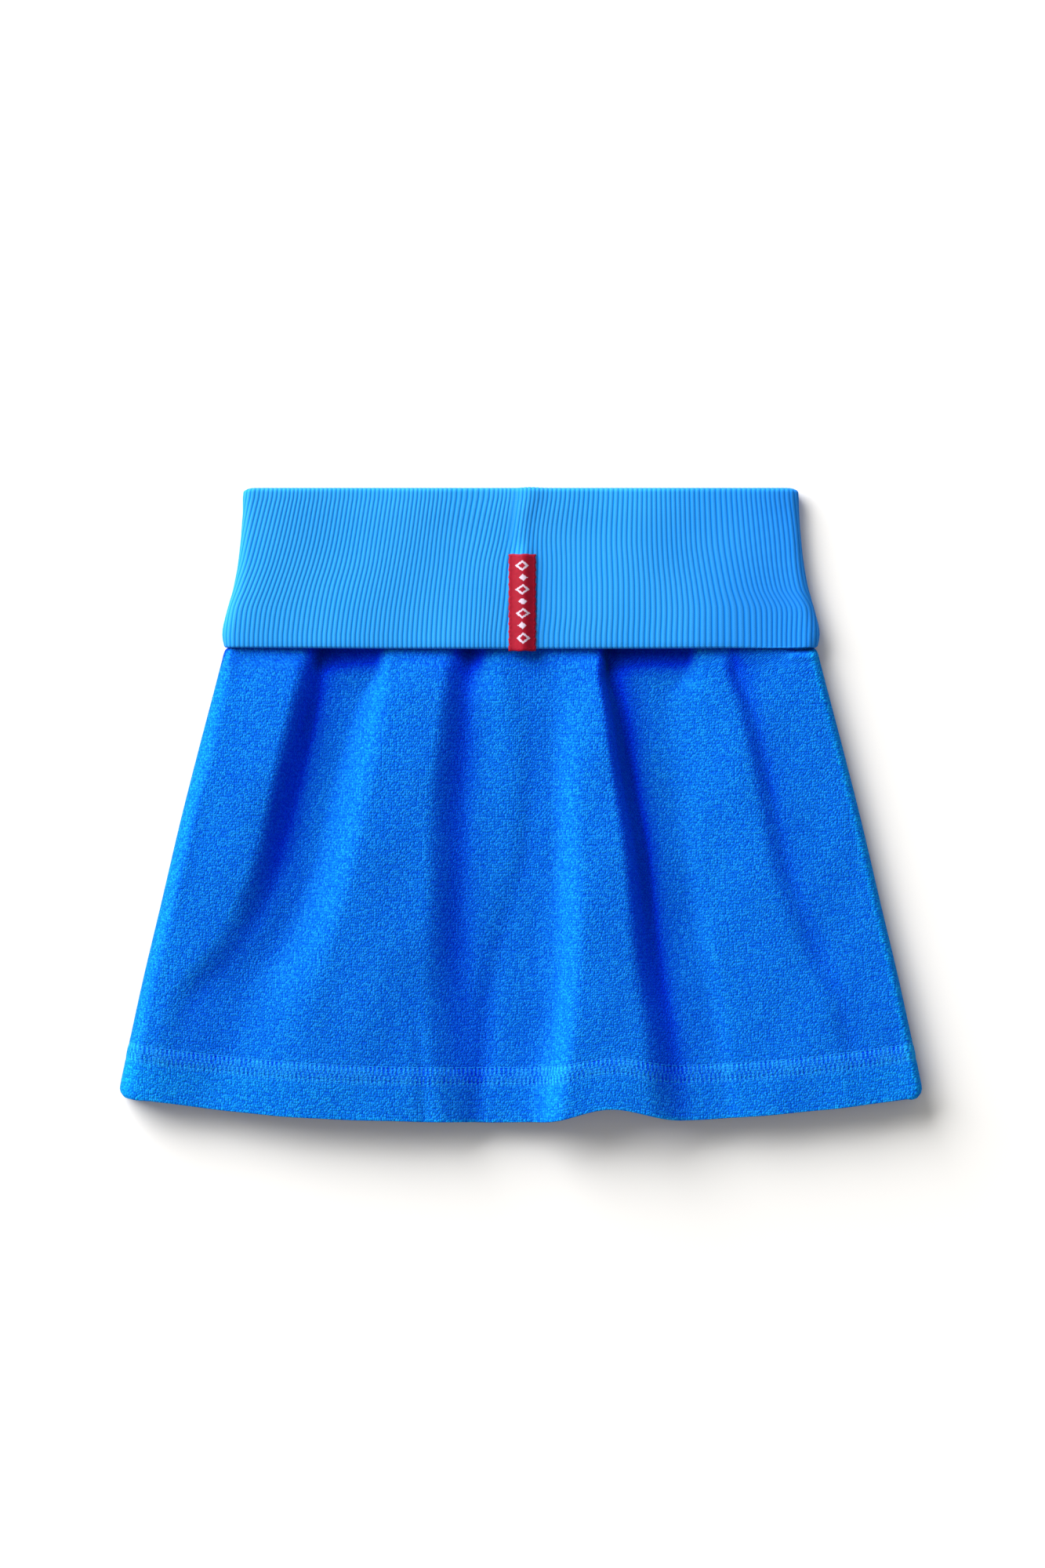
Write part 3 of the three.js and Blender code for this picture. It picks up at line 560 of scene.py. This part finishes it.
def backCloth(material):
    levels = levelsThrough(backPanel["rowRuns"], garment["hemY"])
    outer = []
    inner = []
    for level in levels:
        half = rowHalf(level) - garment["seamGap"]
        rimWidth = backPanel["rimWidth"]
        inside = np.linspace(-1, 1, backPanel["columns"]) * (half - rimWidth)
        x = np.concatenate([[-half], inside, [half]])
        share = smooth((-40 - level) / (-40 - garment["hemY"]))
        shortened = garment["backHemShort"] * share * (1 - (x / half) ** 4)
        y = level + hemLift(x, level) - archLift(x, level) + shortened
        fromEdge = min((level - garment["hemY"]) / 1.6, 1)
        rounding = max(math.sqrt(1 - (1 - fromEdge) ** 2), 0.3)
        rim = np.where(np.abs(x) == half, backPanel["rimShare"], 1) * rounding
        low = np.full_like(x, backLift(level))
        top = np.full_like(x, backTopZ(level))
        middle = (low + top) / 2
        for crease in backCreases:
            centre = curve(crease["y"], crease["x"], level)
            depth = curve(crease["y"], crease["z"], level)
            low = low + depth * bell(x - centre, crease["width"]) * smooth((half - 12 - np.abs(x)) / 20)
        for row in (garment["hemDepth"], garment["lowerStitch"]):
            fromRow = level - garment["hemY"] - row
            low = low + backPanel["stitchDepth"] * bell(fromRow, backPanel["stitchWidth"])
        outer.append(np.stack([x, y, middle + (top - middle) * rim], 1))
        inner.append(np.stack([x, y, middle + (low - middle) * rim], 1))
    outer = np.array(outer)
    inner = np.array(inner)
    rows, columns = outer.shape[:2]
    across = clothAcross(outer, 0)
    cloth = np.stack([across, np.repeat(np.array(levels)[:, None], columns, 1)], -1).reshape(-1, 2)
    points = np.concatenate([outer.reshape(-1, 3), inner.reshape(-1, 3)])
    return meshPiece("backCloth", points, wallQuads(rows, columns), material,
                     cloth=np.tile(cloth, (2, 1)))


# Waistband: a doubled rib tube turned over at the waist
band = {
    "cornerRadius": 3, "foldRadius": 1.95, "frontFoldZ": 6.25, "backFoldZ": 1.95,
    "footRise": 2.9, "riseFromY": 134, "crown": 0.8, "footSag": 0.6, "rightFall": 0.8,
    "columnsPerRib": [0, 0.1, 0.24, 0.5, 0.76, 0.9],
    "ribsRoundLeft": 126, "ribsRoundRight": 114,
    "crest": 0.00022, "groove": 0.00018, "grooveWidth": 0.16,
    "faceStep": 2.3, "foldSteps": 7, "footSteps": 4,
    "floorLift": 0.23,  # so that the ribs underneath stand on the floor
    "waves": [(0.34, 13, 31, 0.6), (0.22, 8.2, -17, 2.2), (0.14, 21, 9, 3.9)],
}
bandOutline = {
    "y": [66.7, 69, 72, 74, 84, 94, 109, 129, 136],
    "half": [126.5, 127.2, 127.6, 127.5, 125.1, 122.4, 120.1, 118.8, 118.8],
}
seamRidge = {
    "height": 0.55, "topHeight": 1.1, "labelHeight": 2.2, "width": 3.2, "labelWidth": 3.6,
    "x": 1.2, "topX": 4,
}
# Where single ribs lie across the band, at the heights in ribRows: they fan out towards the skirt
ribRows = [131.7, 112.2, 102.2, 92.1, 82.1, 72]
ribPaths = {
    -57: [-102, -106.7, -109.4, -113.1, -116.7, -117.8],
    -52: [-93.3, -97.3, -100, -103.3, -106.4, -107.7],
    -43: [-76.9, -80.2, -82.6, -85.6, -87.6, -88.9],
    -35: [-62.1, -65.2, -66.8, -69.2, -71.2, -72.5],
    -26: [-45.7, -48.4, -50.1, -51.8, -53.4, -54.4],
    -17: [-29.3, -32, -33, -34.3, -35.3, -36],
    -9: [-11.2, -15.2, -17.3, -18.3, -18.9, -19.6],
    -4: [-2.5, -5.5, -7.5, -8.5, -9.5, -10.6],
    5: [13.6, 11.2, 11.5, 11.2, 10.9, 9.9],
    13: [29.3, 28, 28, 28.3, 28.3, 27.6],
    21: [46, 45.4, 46, 46.4, 46.4, 46],
    28: [60.1, 60.5, 61.1, 62.1, 62.5, 62.1],
    36: [76.5, 77.2, 78.5, 80.2, 81.6, 81.6],
    43: [92.3, 93.9, 95.3, 97.3, 100.6, 100.8],
    52: [110.7, 113, 113.7, 115.4, 120.4, 120],
}
label = {
    "x": 0.6, "width": 11.6, "topY": 106.5, "lowerY": 65.7, "thickness": 0.6, "clearance": 0.42,
    "rows": 84, "columns": 30,
}


def bandHalf(y):
    radius = band["cornerRadius"]
    above = np.clip(y - (garment["waistY"] - radius), 0, radius)
    return curve(bandOutline["y"], bandOutline["half"], y) - (radius - np.sqrt(radius**2 - above**2))


def bandFaceZ(y):
    rise = smooth((band["riseFromY"] - y) / (band["riseFromY"] - garment["bandLowerY"]))
    return band["frontFoldZ"] + band["foldRadius"] + band["footRise"] * rise


# Ridge that the seam allowances raise along the centre front, wider and higher under the label
def ridgeAt(x, y):
    onLabel = smooth((label["topY"] + 6 - y) / 8)
    nearTop = smooth((y - 120) / 14)
    height = seamRidge["height"] + (seamRidge["labelHeight"] - seamRidge["height"]) * onLabel
    height = height + (seamRidge["topHeight"] - height) * nearTop
    width = seamRidge["width"] + (seamRidge["labelWidth"] - seamRidge["width"]) * onLabel
    centre = seamRidge["x"] + (seamRidge["topX"] - seamRidge["x"]) * nearTop
    return height * bell(x - centre, width + 2 * nearTop)


def sagAt(y, s):
    return band["footSag"] * smooth((garment["bandLowerY"] + 12 - y) / 12) * (1 - s * s)


# Where each rib column lies round the band: 0 at the centre front, 1 at a side, 2 at the centre back
def ribPlaces(ribs, y, quarter):
    names = sorted(ribPaths)
    order = ribRows[::-1]
    known = [float(curve(order, ribPaths[rib][::-1], min(max(y, order[0]), order[-1]))) for rib in names]
    run = [-2 * quarter, *known, 2 * quarter]
    index = [-band["ribsRoundLeft"], *names, band["ribsRoundRight"]]
    return curve(index, run, ribs) / quarter


# One flattened ring of the band, from the centre back round the front and back again
def bandRing(ribs, y, inset, frontZ, backZ, raised, lean=0.0):
    half = float(bandHalf(y)) - inset
    radius = (frontZ - backZ) / 2
    flat = half - radius
    quarter = flat + radius * math.pi / 2
    place = ribPlaces(ribs, y, quarter)
    side = np.sign(place)
    front = np.abs(place) <= 1
    s = np.where(front, place, side * (2 - np.abs(place)))
    run = np.abs(s) * quarter
    angle = np.maximum(0, run - flat) / radius
    bendZ = np.cos(angle) * np.where(front, 1, -1)
    x = side * (np.minimum(run, flat) + radius * np.sin(angle))
    face = raised * front
    crown = band["crown"] * (1 - s * s) - band["rightFall"] * smooth((x - 70) / 48)
    crown = crown * min(1, (garment["waistY"] - y) / 10)
    uneven = smooth((half - np.abs(x)) / 12) * unevenness(x, y, band["waves"])
    ridge = face * ridgeAt(x, y)
    rest = band["floorLift"] * max(0, 1 - backZ) * np.clip(-bendZ, 0, 1)
    points = np.stack([
        x,
        y - front * sagAt(y, s) + ridge * math.sin(lean),
        (frontZ + backZ) / 2 + rest
        + (radius + ridge * math.cos(lean) + face * (crown + uneven)) * bendZ,
    ], 1)
    return points, place * quarter


def waistbandRings(ribs):
    fold = band["foldRadius"]
    wall = garment["ribWall"]
    gap = garment["seamGap"]
    foot = garment["bandLowerY"] + wall / 2
    foldY = garment["waistY"] - fold
    rings = []

    def ring(share, y, inset, frontZ, backZ, raised=0.0, lean=0.0):
        points, run = bandRing(ribs, y, inset, frontZ, backZ, raised, lean)
        rings.append({"points": points, "run": run, "along": y, "share": share})

    def footRing(k):
        angle = math.pi * k / (2 * band["footSteps"])
        inset = wall / 2 * (1 - math.cos(angle))
        raised = max(0.0, math.cos(angle))
        ring(raised, foot - wall / 2 * math.sin(angle), inset, bandFaceZ(foot) - inset, inset, raised)

    for k in range(band["footSteps"], 0, -1):
        footRing(k)
    count = round((foldY - foot) / band["faceStep"])
    for k in range(count):
        y = foot + (foldY - foot) * k / count
        ring(1.0, y, 0.0, bandFaceZ(y), 0.0, 1.0)
    for k in range(2 * band["foldSteps"] + 1):
        angle = math.pi / 2 * k / band["foldSteps"]
        out = fold * math.cos(angle)
        raised = max(0.0, math.cos(angle))
        ring(raised**0.5, foldY + fold * math.sin(angle), fold - out, band["frontFoldZ"] + out,
             band["backFoldZ"] - out, raised, angle)
    joinY = garment["joinY"] + gap
    for y, inset in ((108, 2 * fold), (joinY, 2 * fold), (joinY, wall + gap), (108, wall + gap),
                     (foldY, wall + gap)):
        ring(0.0, y, inset, band["frontFoldZ"] + fold - inset, inset)
    ring(0.0, foldY + gap / 2, fold, band["frontFoldZ"], band["backFoldZ"])
    for y in (foldY, 118, 100, 90, 80, 72):
        ring(0.0, y, wall, bandFaceZ(y) - wall, wall)
    for k in range(2 * band["footSteps"], band["footSteps"], -1):
        footRing(k)
    return rings


# Raises the ribs on the plain band: soft broad ribs, with a narrow groove at each whole number of "rib"
def ribTree(material):
    tree = bpy.data.node_groups.new("ribKnitting", "GeometryNodeTree")
    tree.interface.new_socket(name="Band", in_out="INPUT", socket_type="NodeSocketGeometry")
    for name in ("Crest height", "Groove depth", "Groove width"):
        tree.interface.new_socket(name=name, in_out="INPUT", socket_type="NodeSocketFloat")
    tree.interface.new_socket(name="Ribbed band", in_out="OUTPUT", socket_type="NodeSocketGeometry")
    add, calc = wiring(tree)
    given = add("NodeGroupInput").outputs
    rib = add("GeometryNodeInputNamedAttribute", {"Name": "rib"}, data_type="FLOAT").outputs[0]
    share = add("GeometryNodeInputNamedAttribute", {"Name": "ribShare"}, data_type="FLOAT").outputs[0]
    fromGroove = calc("ABSOLUTE", calc("SUBTRACT", rib, calc("ROUND", rib)))
    nearness = calc("DIVIDE", fromGroove, given["Groove width"])
    groove = calc("EXPONENT", calc("MULTIPLY", calc("MULTIPLY", nearness, nearness), -1))
    fromCrest = calc("SUBTRACT", 1, calc("MULTIPLY", fromGroove, 2))
    rounding = calc("SUBTRACT", 1, calc("MULTIPLY", calc("MULTIPLY", fromCrest, fromCrest), 0.7))
    raised = calc("MULTIPLY", rounding, given["Crest height"])
    relief = calc("SUBTRACT", raised, calc("MULTIPLY", groove, given["Groove depth"]))
    relief = calc("MULTIPLY", relief, share)
    normal = add("GeometryNodeInputNormal").outputs[0]
    offset = add("ShaderNodeVectorMath", {0: normal, "Scale": relief}, operation="SCALE").outputs[0]
    moved = add("GeometryNodeSetPosition", {"Geometry": given["Band"], "Offset": offset})
    real = add("GeometryNodeRealizeInstances", {0: moved.outputs[0]})
    finished = add("GeometryNodeSetMaterial", {0: real.outputs[0], "Material": material})
    add("NodeGroupOutput", {0: finished.outputs[0]})
    return tree


# Runs a node tree on a piece with its named sizes, and keeps the result as a plain mesh
def keepTreeResult(piece, tree, sizes):
    modifier = piece.modifiers.new(tree.name, "NODES")
    modifier.node_group = tree
    for item in tree.interface.items_tree:
        if item.in_out == "INPUT" and item.name in sizes:
            modifier[item.identifier] = sizes[item.name]
    depsgraph = bpy.context.evaluated_depsgraph_get()
    mesh = bpy.data.meshes.new_from_object(
        piece.evaluated_get(depsgraph), preserve_all_data_layers=True, depsgraph=depsgraph)
    piece.modifiers.clear()
    piece.data = mesh
    return piece


def ribBand(material):
    whole = np.arange(-band["ribsRoundLeft"], band["ribsRoundRight"])
    ribs = (whole[:, None] + np.array(band["columnsPerRib"])[None, :]).ravel()
    rings = waistbandRings(ribs)
    points = np.concatenate([ring["points"] for ring in rings])
    rows = len(rings)
    columns = len(ribs)
    number = np.arange(rows * columns).reshape(rows, columns)
    nextRow = np.roll(number, -1, 0)
    quads = np.stack([number, np.roll(number, -1, 1), np.roll(nextRow, -1, 1), nextRow], -1).reshape(-1, 4)
    seam = bell(ribs + 3.5, 0.9)
    share = np.concatenate([ring["share"] * (1 - seam * float(smooth((ring["along"] - 104) / 14)))
                            for ring in rings])
    run = np.concatenate([ring["run"] for ring in rings])
    along = np.concatenate([np.full(columns, ring["along"]) for ring in rings])
    cloth = np.stack([run, along], 1)
    attributes = {"rib": np.tile(ribs, rows), "ribShare": share}
    piece = meshPiece("ribWaistband", points, quads, material, attributes, cloth)
    sizes = {"Crest height": band["crest"], "Groove depth": band["groove"],
             "Groove width": band["grooveWidth"]}
    return keepTreeResult(piece, ribTree(material), sizes)


# Woven label: red satin with a column of pale lozenges, sewn flat over the seam
satin = {
    "red": (0.44, 0.006, 0.028), "deepRed": (0.17, 0.0015, 0.012), "pale": (0.6, 0.5, 0.62),
    "thread": 0.34, "unit": 5.1, "lozengeWide": 3, "lozengeTall": 2.3, "openShare": 0.55, "smallShare": 0.62,
    "motifReach": 17.9, "sway": 0.3, "weaveDepth": 0.00009,
    "shader": {"Roughness": 0.55, "Specular IOR Level": 0.12, "Anisotropic": 0.3},
}


def satinTape():
    material, shader, add, calc = newMaterial("redSatin", satin["shader"])
    cloth = add("ShaderNodeUVMap", uv_map="cloth").outputs[0]
    place = scaled(add, cloth, (1 / metre, 1 / metre, 1))
    step = (satin["thread"], satin["thread"], satin["thread"])
    woven = add("ShaderNodeVectorMath", {0: place, 1: step}, operation="SNAP").outputs[0]
    part = add("ShaderNodeSeparateXYZ", {0: woven}).outputs
    fine = add("ShaderNodeSeparateXYZ", {0: place}).outputs
    shifted = calc("ADD", part[1], satin["unit"] / 2)
    unit = calc("SUBTRACT", calc("FRACT", calc("DIVIDE", shifted, satin["unit"])), 0.5)
    tall = calc("ABSOLUTE", calc("MULTIPLY", unit, satin["unit"]))
    sway = calc("MULTIPLY", calc("SINE", calc("MULTIPLY", part[1], 0.53)), satin["sway"])
    wide = calc("ABSOLUTE", calc("ADD", part[0], sway))
    reach = calc("ADD", calc("DIVIDE", wide, satin["lozengeWide"]),
                 calc("DIVIDE", tall, satin["lozengeTall"]))
    odd = calc("LESS_THAN", calc("FRACT", calc("DIVIDE", shifted, 2 * satin["unit"])), 0.5)
    ring = calc("MULTIPLY", calc("LESS_THAN", reach, 1.0), calc("GREATER_THAN", reach, satin["openShare"]))
    dot = calc("LESS_THAN", reach, satin["smallShare"])
    inside = calc("LESS_THAN", calc("ABSOLUTE", fine[1]), satin["motifReach"])
    motif = calc("MULTIPLY_ADD", calc("SUBTRACT", dot, ring), odd, ring)
    motif = calc("MULTIPLY", motif, inside)
    turn = calc("MULTIPLY", fine[1], 2 * math.pi / satin["thread"])
    threads = calc("MULTIPLY_ADD", calc("SINE", turn), 0.5, 0.5)
    cloud = add("ShaderNodeTexNoise", {"Vector": place, "Scale": 0.6, "Detail": 3}).outputs[0]
    red = mixColours(add, calc("MULTIPLY_ADD", threads, 0.35, calc("MULTIPLY", cloud, 0.7)),
                     satin["deepRed"], satin["red"])
    colour = mixColours(add, motif, red, satin["pale"])
    material.node_tree.links.new(colour, shader.inputs["Base Color"])
    height = calc("ADD", calc("MULTIPLY", threads, 0.5), calc("MULTIPLY", motif, 1.2))
    bump = add("ShaderNodeBump", {"Strength": 0.7, "Distance": satin["weaveDepth"], "Height": height})
    material.node_tree.links.new(bump.outputs[0], shader.inputs["Normal"])
    return material


def labelPoint(u, y):
    edge = 0.14 * np.sin(y * 1.9) + 0.1 * np.sin(y * 4.1 + 1)
    x = label["x"] + u * (label["width"] / 2) + np.sign(u) * edge * np.abs(u) ** 6
    s = x / bandHalf(y)
    crown = band["crown"] * (1 - s**2)
    z = bandFaceZ(y) + crown + ridgeAt(x, y) + unevenness(x, y, band["waves"]) + label["clearance"]
    return x, y - sagAt(y, s), z


def labelTape(material):
    rows = label["rows"]
    columns = label["columns"]
    u = np.linspace(-1, 1, columns)[None, :]
    t = np.linspace(0, 1, rows)[:, None]
    y = label["topY"] + (label["lowerY"] - label["topY"]) * t + 0.12 * np.sin(u * 7)
    y = np.broadcast_to(y, (rows, columns))
    x, level, z = labelPoint(np.broadcast_to(u, (rows, columns)), y)
    fromEdge = np.minimum(1 - np.abs(u), np.minimum(t, 1 - t) * 7)
    rim = np.sqrt(np.clip(fromEdge / 0.12, 0.08, 1))
    swell = label["thickness"] * rim
    outer = np.stack([x, level, z + label["thickness"] / 2 + swell / 2], -1)
    inner = np.stack([x, level, z + label["thickness"] / 2 - swell / 2], -1)
    middleY = (label["topY"] + label["lowerY"]) / 2
    cloth = np.stack([x - label["x"], y - middleY], -1).reshape(-1, 2)
    points = np.concatenate([outer.reshape(-1, 3), inner.reshape(-1, 3)])
    piece = meshPiece("wovenLabel", points, wallQuads(rows, columns), material,
                      cloth=np.tile(cloth, (2, 1)))
    return piece, outer


# Sewing thread: a plain twisted thread in the cloth's colour
def threadFinish(name, colour):
    material, shader, add, _ = newMaterial(name, {"Roughness": 0.8, "Specular IOR Level": 0.08})
    place = scaled(add, add("ShaderNodeTexCoord").outputs["Object"], (1 / metre,) * 3)
    noise = add("ShaderNodeTexNoise", {"Vector": place, "Scale": 1.5}).outputs[0]
    dark = tuple(part * 0.75 for part in colour)
    tone = mixColours(add, noise, dark, colour)
    material.node_tree.links.new(tone, shader.inputs["Base Color"])
    bump = add("ShaderNodeBump", {"Strength": 0.5, "Distance": 0.0001, "Height": noise})
    material.node_tree.links.new(bump.outputs[0], shader.inputs["Normal"])
    return material


# Lays short stitches along a seam line, evenly spaced and half sunk in the cloth
def stitchTree(material):
    tree = bpy.data.node_groups.new("sewnStitches", "GeometryNodeTree")
    tree.interface.new_socket(name="Seam line", in_out="INPUT", socket_type="NodeSocketGeometry")
    for name in ("Stitch pitch", "Stitch length", "Thread radius"):
        tree.interface.new_socket(name=name, in_out="INPUT", socket_type="NodeSocketFloat")
    tree.interface.new_socket(name="Stitches", in_out="OUTPUT", socket_type="NodeSocketGeometry")
    add, calc = wiring(tree)
    given = add("NodeGroupInput").outputs
    line = add("GeometryNodeMeshToCurve", {0: given["Seam line"]}).outputs[0]
    spots = add("GeometryNodeCurveToPoints", {"Curve": line, "Length": given["Stitch pitch"]}, mode="LENGTH")
    ball = add("GeometryNodeMeshUVSphere", {"Segments": 8, "Rings": 6, "Radius": 1.0}).outputs["Mesh"]
    halfLength = calc("MULTIPLY", given["Stitch length"], 0.5)
    size = add("ShaderNodeCombineXYZ", {0: given["Thread radius"], 1: given["Thread radius"], 2: halfLength})
    placed = add("GeometryNodeInstanceOnPoints", {
        "Points": spots.outputs["Points"], "Instance": ball,
        "Rotation": spots.outputs["Rotation"], "Scale": size.outputs[0]})
    real = add("GeometryNodeRealizeInstances", {0: placed.outputs[0]})
    rounded = add("GeometryNodeSetShadeSmooth", {0: real.outputs[0]})
    finished = add("GeometryNodeSetMaterial", {0: rounded.outputs[0], "Material": material})
    add("NodeGroupOutput", {0: finished.outputs[0]})
    return tree


# Stitches along one or more lines of points in millimetres
def sewLines(name, lines, tree, sizes):
    points = np.concatenate(lines) * metre
    edges = []
    first = 0
    for line in lines:
        edges += [(first + k, first + k + 1) for k in range(len(line) - 1)]
        first += len(line)
    mesh = bpy.data.meshes.new(name)
    mesh.from_pydata(points.tolist(), edges, [])
    piece = bpy.data.objects.new(name, mesh)
    scene.collection.objects.link(piece)
    return keepTreeResult(piece, tree, sizes)


print("finishes")
terryFinish = terryCloth()
ribFinish = ribCloth()
satinFinish = satinTape()
blueThread = threadFinish("blueThread", (0.008, 0.3, 0.95))
redThread = threadFinish("redThread", (0.42, 0.008, 0.04))

print("front panel")
frontPiece, hemRows = frontCloth(terryFinish)
print("back panel")
backPiece = backCloth(terryFinish)
print("waistband")
bandPiece = ribBand(ribFinish)
print("label")
labelPiece, labelFace = labelTape(satinFinish)

print("sewing")
hemThread = {"Stitch pitch": 0.0031, "Stitch length": 0.0024, "Thread radius": 0.00016}
hemPiece = sewLines("hemStitches", [row[4:-4] for row in hemRows], stitchTree(blueThread), hemThread)
labelThread = {"Stitch pitch": 0.0017, "Stitch length": 0.0013, "Thread radius": 0.00014}
labelLines = [labelFace[3:-3, 2], labelFace[3:-3, -3], labelFace[2, 2:-2], labelFace[-3, 2:-2]]
labelStitches = sewLines("labelStitches", labelLines, stitchTree(redThread), labelThread)

print("riding and sheets")
pieces = {
    frontPiece: ("terry", ["skirt_front"]), backPiece: ("terry", ["skirt_back"]),
    bandPiece: ("rib_knit", ["waistband"]), labelPiece: ("woven_label", ["label"]),
    hemPiece: ("terry", []), labelStitches: ("woven_label", []),
}
for piece, (slotName, nodes) in pieces.items():
    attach(piece, "root")
    if nodes:
        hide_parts(*nodes)

# Studio: a pale floor, one large soft light from the upper left and an even fill
studio = {
    "floorSize": 6, "floorColour": (0.9, 0.89, 0.88, 1), "floorDrop": 0.0002,
    "keyPower": 1765, "keySize": 7.2, "keyDistance": 8, "keyAzimuth": 135, "keyElevation": 24.7,
    "fill": 0.36, "fillColour": (1, 0.98, 0.92, 1),
    "cameraHeight": 2.6, "seenLength": 0.670, "clothTop": 0.008, "centreX": 0.0007, "centreY": 0.0084,
}


def makeStudio():
    side = studio["floorSize"] / 2
    drop = -studio["floorDrop"]
    mesh = bpy.data.meshes.new("floor")
    corners = [(-side, -side, drop), (side, -side, drop), (side, side, drop), (-side, side, drop)]
    mesh.from_pydata(corners, [], [(0, 1, 2, 3)])
    floor = bpy.data.objects.new("floor", mesh)
    scene.collection.objects.link(floor)
    finish = newMaterial("paleFloor", {"Base Color": studio["floorColour"], "Roughness": 0.9})
    mesh.materials.append(finish[0])
    lamp = bpy.data.lights.new("softKey", "AREA")
    lamp.energy = studio["keyPower"]
    lamp.size = studio["keySize"]
    azimuth = math.radians(studio["keyAzimuth"])
    elevation = math.radians(studio["keyElevation"])
    far = studio["keyDistance"] * math.cos(elevation)
    key = bpy.data.objects.new("softKey", lamp)
    key.location = (far * math.cos(azimuth), far * math.sin(azimuth),
                    studio["keyDistance"] * math.sin(elevation))
    key.rotation_euler = key.location.to_track_quat("Z", "Y").to_euler()
    scene.collection.objects.link(key)
    world = bpy.data.worlds.new("studioFill")
    world.use_nodes = True
    fill = world.node_tree.nodes["Background"]
    fill.inputs["Color"].default_value = studio["fillColour"]
    fill.inputs["Strength"].default_value = studio["fill"]
    scene.world = world
    view = bpy.data.cameras.new("overhead")
    view.lens = 36 * (studio["cameraHeight"] - studio["clothTop"]) / studio["seenLength"]
    camera = bpy.data.objects.new("overhead", view)
    camera.location = (studio["centreX"], studio["centreY"], studio["cameraHeight"])
    scene.collection.objects.link(camera)
    scene.camera = camera
    scene.view_settings.view_transform = "Standard"


print("studio")
makeStudio()
